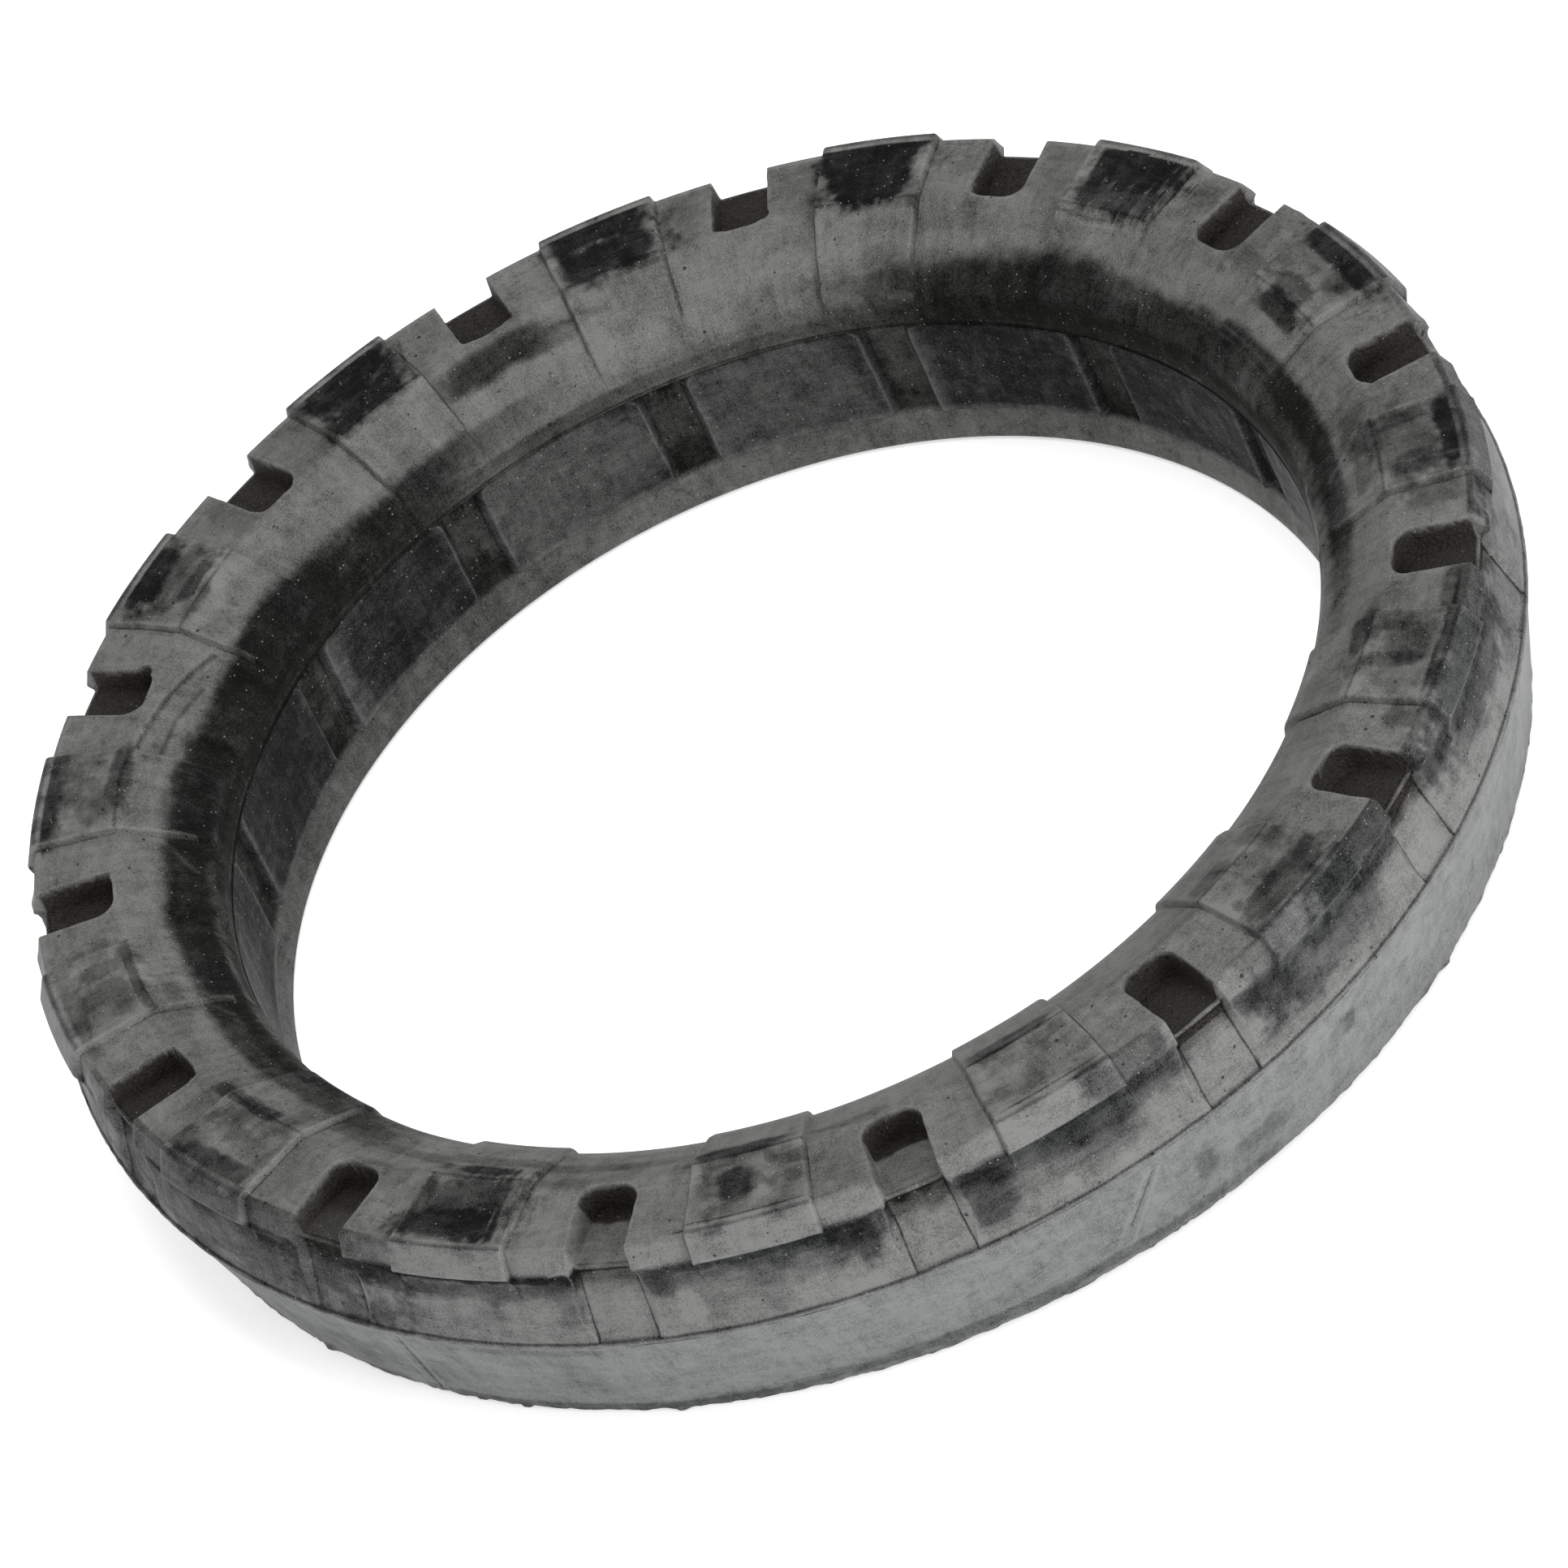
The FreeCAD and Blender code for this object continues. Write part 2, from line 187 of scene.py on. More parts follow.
def slab_faces(nc, nr):
    """Quads of a closed slab: a top grid (nc x nr), then a bottom grid."""
    def quad(off, flip):
        i, j = np.meshgrid(np.arange(nc - 1), np.arange(nr - 1), indexing="ij")
        q = np.stack([i * nr + j, (i + 1) * nr + j, (i + 1) * nr + j + 1, i * nr + j + 1], -1).reshape(-1, 4) + off
        return q[:, ::-1] if flip else q
    m = nc * nr
    out = [quad(0, False), quad(m, True)]
    loop = [(i, 0) for i in range(nc - 1)] + [(nc - 1, j) for j in range(nr - 1)]
    loop += [(i, nr - 1) for i in range(nc - 1, 0, -1)] + [(0, j) for j in range(nr - 1, 0, -1)]
    ids = np.array([i * nr + j for i, j in loop])
    nxt = np.roll(ids, -1)
    out.append(np.stack([nxt, ids, ids + m, nxt + m], -1))
    return np.concatenate(out)


def polar(theta_deg, r, z):
    t = np.radians(theta_deg)
    return np.stack([r * np.cos(t), r * np.sin(t), z + 0 * t], -1)


# ----------------------------------------------------------------------------
# Shape of the section, in mm (radius, height)
# ----------------------------------------------------------------------------
R_FLANGE, Z_OUT, Z_IN = 175.0, 31.0, 37.2
SEAT = 130.3
LUG_HALF = 4.875
FACE_Z = 57.5

# keys of the outer skin of the front cover, from the outer to the inner parting line
low_b = rounded([(R_FLANGE, Z_OUT), (R_FLANGE - 0.05, 31.42), (174.25, 32.1), (173.65, 36.5), (172.65, 43.0), (171.8, 49.3), (172.4, 51.0)],
                [0, 0.15, 0.5, 12, 10, 1.6, 0], 0.4)
low_c = rounded([(172.4, 51.0), (172.8, 51.9), (170.45, 57.4), (169.8, FACE_Z)], [0, 0.4, 0.6, 0], 0.2)
low_e = rounded([(152.5, FACE_Z), (151.0, FACE_Z), (136.8, 50.4), (133.0, 47.6), (131.1, 44.4), (SEAT, 41.6), (SEAT, 37.75), (SEAT + 0.25, 37.45), (SEAT - 0.22, 37.35), (SEAT - 0.22, Z_IN)],
                [0, 3.0, 7.0, 5.0, 5.0, 3.0, 0.1, 0.1, 0.02, 0], 0.5)
# the same keys in the middle of a slot
slot_b = rounded([(R_FLANGE, Z_OUT), (R_FLANGE - 0.05, 31.42), (174.25, 32.05), (173.4, 32.6), (171.35, 41.6), (169.3, 49.3), (169.55, 50.5)],
                 [0, 0.15, 0.2, 0, 0, 0.3, 0], 0.4)
slot_c = rounded([(169.55, 50.5), (170.3, 51.45), (170.05, 51.95), (169.8, 51.92)], [0, 0.25, 0.2, 0], 0.2)
# the same keys on top of a lug
lug_b2 = rounded([(172.25, 46.6), (172.1, 47.8), (172.3, 50.5), (173.75, 52.1)], [0, 0.8, 1.2, 0], 0.3)
lug_c = rounded([(173.75, 52.1), (174.1, 52.9), (171.2, 59.0), (170.2, 59.15)], [0, 0.35, 0.5, 0], 0.2)
lug_e2 = rounded([(152.4, 59.15), (150.5, 59.05), (136.2, 51.8), (132.3, 48.6), (131.0, 45.4), (130.6, 43.9)], [0, 2.4, 6.0, 4.5, 3.0, 0], 0.5)
root_keys = [(172.3, 45.6), (169.5, 47.7), (169.5, 50.8), (168.3, 54.5), (151.5, 54.5), (138.5, 47.9), (134.6, 45.6), (133.0, 44.2)]

NB, NC_, NE = 54, 16, 74
tb = spread(NB, strength=0.2)
tc = spread(NC_)
te = np.linspace(0, 1, NE + 1)
LOW_B, LOW_C, LOW_E = resample(low_b, tb), resample(low_c, tc), resample(low_e, te)
SLOT_B, SLOT_C = resample(slot_b, tb), resample(slot_c, tc)

# the face and the start of the slope are stepped finely where the slot's end
# wall stands
face_r = np.r_[np.linspace(169.8, 156.0, 26), np.linspace(155.4, 153.6, 6), np.linspace(153.45, 151.1, 24), np.linspace(150.7, 147.5, 7)]
slope_part = LOW_E[LOW_E[:, 0] > 131.2]
face_z = np.where(face_r > 152.4, FACE_Z, np.interp(face_r, slope_part[::-1, 0], slope_part[::-1, 1]))
tail = LOW_E[LOW_E[:, 0] < 147.2]
LOW = np.concatenate([LOW_B, LOW_C[1:], np.stack([face_r, face_z], -1)[1:], tail])
ROWS = len(LOW)
iB = NB
iF0 = NB + NC_
iF1 = iF0 + len(face_r) - 1
z_r = np.r_[face_r, slope_part[slope_part[:, 0] < 147.2][:, 0]][::-1]
z_z = np.r_[face_z, slope_part[slope_part[:, 0] < 147.2][:, 1]][::-1]


def low_z(r):
    """Height of the low surface over the face and the inner slope."""
    return np.interp(r, z_r, z_z)


SLOT = LOW.copy()
SLOT[:NB + 1] = SLOT_B
SLOT[NB:iF0 + 1] = SLOT_C

# rows that a lug covers, its skin and its root
J0 = int(np.argmin(np.abs(LOW[:iB, 1] - 46.6)))
slope_rows = np.arange(iF0, ROWS)
J1 = int(slope_rows[np.argmin(np.abs(LOW[iF0:, 1] - 43.9) + 10 * (LOW[iF0:, 0] > 135))])
LUG = LOW.copy()
u = np.linspace(0, 1, iB - J0 + 1)
LUG[J0:iB + 1] = resample(lug_b2, u)
LUG[iB:iF0 + 1] = resample(lug_c, tc)
jf = iF0
while LOW[jf, 0] > 152.4:
    jf += 1
seg = LOW[iF0:jf, 0]
LUG[iF0:jf, 0] = 170.2 + (seg - 169.8) * (170.2 - 152.4) / (169.8 - 152.4)
LUG[iF0:jf, 1] = 59.15
arc = np.r_[0, np.cumsum(np.hypot(*np.diff(LOW[jf:J1 + 1], axis=0).T))]
LUG[jf:J1 + 1] = resample(lug_e2, arc / arc[-1])
ROOT = LOW.copy()
arc = np.r_[0, np.cumsum(np.hypot(*np.diff(LOW[J0:J1 + 1], axis=0).T))]
root_line = rounded(root_keys, [0] * len(root_keys))
root_arc = np.r_[0, np.cumsum(np.hypot(*np.diff(root_line, axis=0).T))]
marks = np.interp(arc, [0, arc[iB - J0], arc[iF0 - J0], arc[jf - J0], arc[-1]],
                  [0, root_arc[2], root_arc[3], root_arc[4], root_arc[-1]])
ROOT[J0:J1 + 1] = np.stack([np.interp(marks, root_arc, root_line[:, 0]), np.interp(marks, root_arc, root_line[:, 1])], -1)

# ----------------------------------------------------------------------------
# One pitch of the front cover
# ----------------------------------------------------------------------------
y_half = np.array([0.0, 1.3, 2.6, 3.7, 4.6, 5.2, 5.6, 5.9, 6.15, 6.35, 6.52, 6.66, 6.8, 6.94, 7.06, 7.18, 7.3, 7.42, 7.54, 7.68, 7.84,
                   8.02, 8.25, 8.6, 9.05, 9.6, 10.2, 10.8, 11.4, 12.0, 12.6, 13.2, 13.8, 14.4, 15.0, 15.6, 16.2, 16.8, 17.4, 18.0, 18.6, 19.2, 19.8])
R_REF = 163.0
EDGE = 12.0 - LUG_HALF
Y_EDGE = R_REF * math.sin(math.radians(EDGE))
END_X, END_H, END_R = 152.0, 6.72, 4.3


def column_angle(y, r):
    """Angle, in degrees from the slot's middle, of column y at radius r:
    parallel to the slot near it, radial by the lug's edge."""
    t = smooth(8.6, Y_EDGE, np.abs(y))
    yy = y * ((1 - t) + t * r / R_REF)
    return np.degrees(np.arcsin(np.clip(yy / r, -1, 1)))


def slot_distance(x, y, half=END_H, corner=END_R):
    """Signed distance to the slot's outline in plan; negative inside."""
    qx = END_X + corner - x
    qy = np.abs(y) - (half - corner)
    return np.hypot(np.maximum(qx, 0), np.maximum(qy, 0)) + np.minimum(np.maximum(qx, qy), 0) - corner


def wall_ramp(sd, depth):
    """Height above the slot floor as a share of its depth, by distance from
    the outline: fillet, leaning wall, rounded rim."""
    rim, fil = 0.32, 0.6
    t = np.clip((0.52 - sd) / rim, 0, 1)
    z_rim = depth - rim * (1 - np.sqrt(np.clip(1 - t * t, 0, 1)))
    s = np.clip((sd + 0.25) / 0.45, 0, 1)
    z_wall = fil * 0.9 + (depth - rim - fil * 0.9) * s
    q = np.clip((sd + 0.25 + fil) / fil, 0, 1)
    z_fil = fil * 0.9 * (1 - np.sqrt(np.clip(1 - q * q, 0, 1)))
    z = np.where(sd >= 0.20, z_rim, np.where(sd >= -0.25, z_wall, z_fil))
    return np.clip(z / depth, 0, 1)


# torn corners at the closed ends of some slots: along the slot, across it
# (towards the next lower angle negative), radius, how far the edge gives way
TEARS = {
    6: [(154.6, -7.6, 2.6, 2.2), (152.6, 3.5, 1.5, 0.8)],
    5: [(153.0, 5.2, 1.6, 0.8), (152.2, -3.0, 1.6, 0.6)],
    4: [(153.4, -6.0, 1.8, 1.1), (153.6, 6.2, 1.8, 1.0), (151.9, 0.5, 1.5, 0.4)],
    3: [(153.8, -6.6, 2.0, 1.2), (153.6, 6.0, 1.8, 0.9)],
    7: [(153.0, -6.0, 1.8, 1.0)],
    8: [(152.8, -5.8, 1.8, 0.9), (152.8, 6.0, 1.6, 0.7)],
    9: [(151.9, -2.0, 1.8, 0.7)],
    2: [(153.2, 6.2, 1.5, 0.5)],
    0: [(154.5, -7.2, 1.8, 0.6)],
}

ROW = np.arange(ROWS)
ROW_R, ROW_Z = LOW[:, 0], LOW[:, 1]
WARP_ROW = np.where(ROW >= iF0, smooth(168.5, 160.0, ROW_R) * smooth(147.3, 150.9, ROW_R), 0.0)
# half width of the channel's floor and of its mouth, by row
CH_IN = np.where(ROW < iF0, 7.0 - 0.45 * smooth(31.5, 49.0, ROW_Z), 6.6)
CH_OUT = CH_IN + np.where(ROW < iF0, 0.45 + 1.75 * smooth(32.2, 39.0, ROW_Z) - 0.95 * smooth(43.0, 49.5, ROW_Z) - 0.55 * smooth(50.5, 52.5, ROW_Z), 0.7)


def low_patch(y, pitch):
    """Points (angle from the slot, r, z) of the cover between two lugs, for
    columns y, and how far each one is down inside the slot."""
    y = np.asarray(y, float)[:, None]
    ay = np.abs(y)
    side = np.where(y < 0, -1.0, 1.0)
    # each slot's walls are a little uneven
    base = np.stack(np.broadcast_arrays(ROW_R[None] * 1.0, side * 9.0 + 0 * ROW_R[None], pitch * 31.0 + 0 * side * ROW_R[None]), -1)
    wob = 0.16 * noise(base, 6.0, 5) + 0.07 * noise(base, 2.2, 6)
    q = np.clip(ay - (END_H - END_R), 0, 0.9 * END_R)
    warp = (END_R - np.sqrt(END_R ** 2 - q ** 2)) * (1 - smooth(8.2, 18.0, ay))
    r = ROW_R[None] + warp * WARP_ROW[None]
    ang = column_angle(y, r)
    x = r * np.cos(np.radians(ang))
    yl = r * np.sin(np.radians(ang))
    z_low_ = np.where(ROW[None] >= iF0, low_z(r), ROW_Z[None])
    z_low_ = np.where(ROW_R[None] < 147.3, np.where(ROW[None] >= iF0, ROW_Z[None], z_low_), z_low_)
    # lower edge of the shoulder band slants down towards the lugs
    steep_side = 1.0 + 0.5 * (side < 0) * (0.5 + 0.5 * math.sin(pitch * 2.1 + 0.4))
    slant = 1.6 * steep_side * (1 - np.clip((ay - 7.0) / 6.4, 0, 1)) - 2.0 * np.clip((ay - 10.0) / 9.8, 0, 1)
    z_low_ = z_low_ + np.where(ROW[None] < iF0, slant * bump(ROW_Z, 51.7, 5.6)[None] * smooth(7.0, 9.5, ay), 0.0)
    # slot over the face
    floor = 49.6 + (x - 152.4) * math.tan(math.radians(7.5))
    floor = floor + 0.18 * noise(np.stack([x + 0 * y, yl, pitch * 40.0 + 0 * x], -1), 3.6, 8)
    depth = np.maximum(z_low_ - floor, 0.2)
    sd = slot_distance(x, yl) + wob
    for tx, ty, trad, grow in TEARS.get(pitch, []):
        sd = sd - grow * np.clip(1 - np.hypot(x - tx, yl - ty) / trad, 0, 1)
    ramp = np.where(r < 149.5, 1.0, wall_ramp(sd, depth))
    z_face = z_low_ - depth * (1 - ramp)
    # channel down the shoulder
    w = np.clip((ay + wob - CH_IN[None]) / (CH_OUT - CH_IN)[None], 0, 1)
    w = 0.15 * smooth(0, 1, w) + 0.85 * w
    steep = np.clip(ramp, 0, 1)
    c = smooth(51.3, 57.3, ROW_Z)[None] * (ROW[None] >= iB)
    W = w * (1 - c) + steep * c
    r_ch = SLOT[None, :, 0] * (1 - W) + r * W
    z_ch = SLOT[None, :, 1] * (1 - W) + z_low_ * W
    on_face = ROW[None] >= iF0
    r_out = np.where(on_face, r, r_ch)
    z_out = np.where(on_face, z_face, z_ch)
    ang_out = column_angle(y, r_out)
    inside = np.where(on_face, 1 - ramp, 1 - W)
    crease = np.where(on_face, 20.0, ay + wob - CH_IN[None])
    return ang_out, r_out, z_out, inside, sd, crease, (ay + wob - CH_OUT[None]) + np.where(on_face, 20.0, 0.0)


lug_angles = np.array([0.035, 0.4, 1.2, 2.4, 3.6, 4.875, 6.15, 7.35, 8.55, 9.35, 9.715]) + EDGE


def undulate(pts, seed, amount=0.16):
    """Slow unevenness of moulded rubber, as an offset in mm."""
    d = np.stack([fbm(pts + 200.0 * k, 34.0, seed + 5 * k, 2) for k in range(3)], -1)
    return amount * d


HID = np.array([(137.0, 37.2), (137.0, 45.0), (164.0, 45.0), (164.0, 31.0)])
cover_cols, cover_info = [], []
ys = np.r_[-Y_EDGE, -y_half[:0:-1], y_half, Y_EDGE]
for p in range(N):
    a, r, z, inside, sd, crease, brow = low_patch(ys, p)
    a = a + p * PITCH
    cover_cols.append(np.stack([a, r, z], -1))
    cover_info.append(np.stack([inside, sd, crease, brow, np.sign(ys)[:, None] + 0 * sd], -1))
    b = np.repeat(lug_angles[:, None], ROWS, 1) + p * PITCH
    rr, zz = np.repeat(ROOT[None, :, 0], len(lug_angles), 0), np.repeat(ROOT[None, :, 1], len(lug_angles), 0)
    # outside the lug's rows the skin carries on at its own level
    cover_cols.append(np.stack([b, rr, zz], -1))
    cover_info.append(np.stack([0 * b, 20 + 0 * b, 20 + 0 * b, 20 + 0 * b, 0 * b], -1))
cols = np.concatenate(cover_cols)
info = np.concatenate(cover_info)
pts = polar(cols[..., 0], cols[..., 1], cols[..., 2])
edge_hold = smooth(31.3, 34.0, cols[..., 2]) * smooth(37.4, 39.0, cols[..., 2])
pts = pts + undulate(pts, 11) * edge_hold[..., None]
# ragged lip of flash at the outer parting line
fl = smooth(32.2, 31.2, cols[..., 2]) * (cols[..., 1] > 170)
t_arc = np.radians(cols[..., 0]) * 175.0
rag = np.clip(noise(np.stack([t_arc, 0 * t_arc, 0 * t_arc], -1), 2.2, 21) + 0.5 * noise(np.stack([t_arc, 0 * t_arc, 0 * t_arc], -1), 7.0, 22), -1, 1)
shrink = 1 - (0.10 + 0.10 * rag) * fl / 175.0
pts[..., 0] *= shrink
pts[..., 1] *= shrink
nc = pts.shape[0]
hid = polar(np.repeat(cols[:, :1, 0], 4, 1), np.repeat(HID[None, :, 0], nc, 0), np.repeat(HID[None, :, 1], nc, 0))
grid = np.concatenate([pts, hid], 1)
hid_info = np.zeros((nc, 4, 5))
hid_info[..., 1:4] = 20
info = np.concatenate([info, hid_info], 1)
SHAPES = {}
SHAPES["cover"] = (grid, info)

# ----------------------------------------------------------------------------
# Lugs
# ----------------------------------------------------------------------------
e_half = np.r_[-1.0, -0.85, -0.7, -0.52, -0.35, -0.2, -0.08, 0.02, 0.1, 0.18, 0.27, 0.38, 0.5, 0.64, 0.8, 1.0, 1.3, np.linspace(1.7, 13.2, 20)]


def edge_rise(e):
    """Height share of a lug's edge, by distance in from its outline."""
    f = np.clip((e + 0.85) / 0.85, 0, 1)
    fil = 0.36 * (1 - np.sqrt(np.clip(1 - f * f, 0, 1)))
    s = np.clip(e / 0.14, 0, 1)
    wall = 0.36 + 0.26 * s
    t = np.clip((0.86 - e) / 0.72, 0, 1)
    top = 1 - 0.38 * (1 - np.sqrt(np.clip(1 - t * t, 0, 1)))
    return np.where(e < 0, fil, np.where(e < 0.14, wall, top))


def lug_patch(i):
    jr = np.arange(J0 - 3, J1 + 3)
    low, lug, rt = LOW[jr], LUG[jr], ROOT[jr]
    half = np.r_[e_half]
    sides = np.r_[np.full(len(half), -1.0), 0.0, np.full(len(half), 1.0)]
    es = np.r_[half, 20.0, half[::-1]]
    r = low[:, 0][None]
    base = np.stack([r + 0 * sides[:, None], sides[:, None] * 9.0 + 0 * r, i * 37.0 + 0 * r + 0 * sides[:, None]], -1)
    wander = 0.22 * noise(base, 8.0, 41) + 0.10 * noise(base, 2.6, 42)
    width = LUG_HALF * np.pi / 180 * r
    ei = es[:, None] + 0 * r
    ei = np.where(ei > 1.0, 1.0 + (ei - 1.0) * (width - 1.0) / (LUG_HALF * np.pi / 180 * R_REF - 1.0), ei)
    d = width - ei + wander * (1 - smooth(1.0, 5.0, es[:, None]))
    d = np.where(sides[:, None] == 0, 0.0, d)
    H = edge_rise(es[:, None] + 0 * r)
    end = smooth(-2.0, 4.0, (jr - J0))[None] * smooth(-2.0, 7.0, (J1 - jr))[None]
    H = H * end
    rr = low[None, :, 0] * (1 - H) + lug[None, :, 0] * H
    zz = low[None, :, 1] * (1 - H) + lug[None, :, 1] * H
    # band edge in the low areas slants down to meet the lug
    zz = zz - 2.0 * bump(low[:, 1], 51.7, 5.6)[None] * (1 - H) * (jr < iF0)[None]
    skirt = (es < -0.95)[:, None]
    sink = np.where(skirt, 0.12, 0.0) + 0.12 * (1 - np.minimum(1, H * 12)) * (es[:, None] > -0.95)
    at_end = ((jr <= J0 - 3) | (jr >= J1 + 2))[None] + 0 * sink
    body = (es[:, None] > 0.3) + 0 * sink
    sink = np.where(body > 0, np.where(at_end > 0, 0.10, -0.03), sink)
    zz = zz - sink * np.where(jr < iF0, 0.25, 1.0)[None]
    rr = rr - sink * np.where((jr < iF0) | (jr > J1 - 14), -1.0 * (jr > J1 - 14) + 1.0 * (jr < iF0), 0.0)[None]
    ang = sides[:, None] * np.degrees(d / r) if True else 0
    top = np.stack([ang, rr, zz], -1)
    inner = np.clip(np.abs(ang), 0, LUG_HALF - 0.12) * np.sign(ang)
    rt = rt.copy()
    rt[:4] = ROOT[J0 + 1]
    rt[-4:] = ROOT[J1 - 1]
    bot = np.stack([inner, rt[None, :, 0] + 0 * ang, rt[None, :, 1] + 0 * ang], -1)
    return top, bot, es[:, None] + 0 * r, H


LUGS = []
for i in range(N):
    top, bot, ee, H = lug_patch(i)
    mid = 12.0 + PITCH * i
    tp = polar(top[..., 0] + mid, top[..., 1], top[..., 2])
    hold = smooth(0.0, 0.25, H)[..., None]
    tp = tp + undulate(tp, 11) * (0.15 + 0.85 * 1.0)
    bp_ = polar(bot[..., 0] + mid, bot[..., 1], bot[..., 2])
    tp[..., 2] = np.minimum(tp[..., 2], 59.2)
    LUGS.append((tp, bp_, ee, H, top))

# ----------------------------------------------------------------------------
# Back cover and drive pads
# ----------------------------------------------------------------------------
back_b = rounded([(R_FLANGE, Z_OUT), (R_FLANGE - 0.05, 30.55), (174.15, 29.95), (171.6, 20.0), (166.6, 1.1), (165.4, 0.0), (160.0, 0.0)],
                 [0, 0.12, 0.6, 0, 0.9, 0.5, 0], 0.3)
back_f = np.array([(160.0, 0.0), (131.5, 0.0)])
back_i = rounded([(131.5, 0.0), (130.1, 0.05), (129.3, 0.9), (129.6, 3.5), (131.3, 8.6), (132.5, 10.2), (132.5, 36.6), (131.2, 37.2), (133.0, 37.2)],
                 [0, 0.4, 0.8, 2.5, 2.2, 2.0, 0.7, 0.0, 0], 0.3)
BACK = np.concatenate([resample(back_b, np.linspace(0, 1, 72)), resample(back_f, np.linspace(0, 1, 18))[1:],
                       resample(back_i, np.linspace(0, 1, 84))[1:], np.array([(137.0, 37.2), (137.0, 12.0), (164.0, 12.0), (164.0, 31.0)])])
NBK = len(BACK)
fine_at = [(2 - 5.43) * PITCH % 360, (2 - 7.83) * PITCH % 360]
fine_at += [(2 - kk) * PITCH % 360 for kk in (-1.5, -2.5, -3.5, -0.5)]
fine_w = [4.6, 2.4, 2.6, 2.6, 2.6, 2.6]
bang = np.arange(0, 360, 0.4)
for f0, fw_ in zip(fine_at, fine_w):
    bang = bang[np.abs((bang - f0 + 180) % 360 - 180) > fw_]
    bang = np.r_[bang, np.mod(np.arange(f0 - fw_, f0 + fw_ + 0.01, 0.13), 360)]
bang = np.sort(bang)
bang = bang[np.r_[True, np.diff(bang) > 0.05]]
B = np.stack([np.repeat(bang[:, None], NBK, 1), np.repeat(BACK[None, :, 0], len(bang), 0), np.repeat(BACK[None, :, 1], len(bang), 0)], -1)
# back cover relief: witness lines on the outer band, torn pockets in the
# grooves, ragged flash at the bottom edge and the parting line
bk = np.mod(2.0 - B[..., 0] / PITCH, 15.0)
bzr = B[..., 2] - 31.0
arc175 = np.radians(B[..., 0]) * 175.0


def line_in(k, z, a, b, width):
    """1 on a straight line from a to b, each (pitch, height), in mm."""
    mmk = PITCH * np.pi / 180 * 172.0
    px, py = (k - a[0]) * mmk, z - a[1]
    dx, dy = (b[0] - a[0]) * mmk, b[1] - a[1]
    length = math.hypot(dx, dy)
    t = np.clip((px * dx + py * dy) / length ** 2, 0, 1)
    dist = np.hypot(px - t * dx, py - t * dy)
    return np.clip(1 - dist / width, 0, 1)


outer_face = (B[..., 1] > 165.5) & (B[..., 2] < 30.6) & (B[..., 2] > 0.3)
WITNESS = [((5.315, -4.0), (5.47, -24.0), 0.8, 0.38), ((5.37, -4.5), (5.525, -23.0), 0.8, 0.38), ((5.34, -5), (5.46, -19), 0.5, -0.25),
           ((7.80, -2.0), (7.845, -29.0), 0.7, 0.30), ((7.86, -2.0), (7.90, -28.0), 0.7, 0.30), ((7.83, -3.0), (7.87, -28.0), 0.5, -0.25)]
relief = np.zeros_like(bk)
for a_, b_, w_, h_ in WITNESS:
    relief = relief + h_ * smooth(0, 1, line_in(bk, bzr, a_, b_, w_))
relief = relief * outer_face
wavy = 0.22 * fbm(polar(B[..., 0], B[..., 1], B[..., 2]), 30.0, 33, 2) * smooth(30.3, 27.0, B[..., 2]) * smooth(0.5, 3.0, B[..., 2]) * (B[..., 1] > 160)
rr_back = B[..., 1] + relief + wavy
lip_rag = np.clip(noise(np.stack([arc175, 0 * arc175, 0 * arc175 + 3.0], -1), 2.4, 23) + 0.5 * noise(np.stack([arc175, 0 * arc175, 0 * arc175], -1), 8.0, 24), -1, 1)
rr_back = rr_back - (0.10 + 0.10 * lip_rag) * smooth(29.9, 30.8, B[..., 2]) * (B[..., 1] > 170)
pocket = np.zeros_like(bk)
for kk, size in ((-1.5, 1.0), (-2.5, 0.95), (-3.5, 1.0), (-0.5, 0.45)):
    dk = ((bk - kk + 7.5) % 15.0 - 7.5) * PITCH * np.pi / 180 * 132.0
    dz = B[..., 2] - 34.9
    q_ = np.stack([dk * 1.0, dz * 1.0, 0 * dz + kk * 20], -1)
    dd = np.sqrt((dk / 2.9) ** 2 + (dz / 1.5) ** 2) + 0.30 * noise(q_, 1.5, 81)
    pocket = np.maximum(pocket, size * smooth(1.05, 0.75, dd))
in_groove = (B[..., 1] > 129) & (B[..., 1] < 133.2) & (B[..., 2] > 30) & (B[..., 2] < 37.1)
pocket = pocket * in_groove
rr_back = rr_back + 1.7 * pocket
rough_floor = in_groove * 0.0 + ((B[..., 1] > 132.0) & (B[..., 1] < 133.0) & (B[..., 2] < 20)) * 0.16 * fbm(polar(B[..., 0], B[..., 1], B[..., 2]), 2.4, 84, 2)
rr_back = rr_back + rough_floor
bz_out = B[..., 2] + 0.0
edge_rag = 0.35 * np.clip(noise(np.stack([arc175, 0 * arc175 + 9.0, 0 * arc175], -1), 3.2, 27) + 0.6 * noise(np.stack([arc175, 0 * arc175 + 4.0, 0 * arc175], -1), 1.3, 28), -1, 1)
edge_rag = edge_rag + 0.9 * smooth(0.5, 0.85, noise(np.stack([arc175, 0 * arc175 + 14.0, 0 * arc175], -1), 4.0, 29)) + 0.25
rr_back = rr_back + edge_rag * smooth(1.7, 0.5, B[..., 2]) * (B[..., 1] > 163) * (B[..., 1] < 167.5)
bpts = polar(B[..., 0], rr_back, bz_out)
SHAPES["back"] = (bpts, B, bk, pocket, relief)

PAD_HALF = 9.275
pad_e = np.r_[-2.1, -1.8, -1.5, -1.2, -0.9, -0.6, -0.35, -0.1, 0.15, 0.4, 0.7, 1.1, 1.7, np.linspace(2.5, 20.0, 20)]
pad_z = np.r_[np.linspace(9.1, 11.5, 9), np.linspace(12.1, 34.0, 34), np.linspace(34.4, 37.25, 12)]


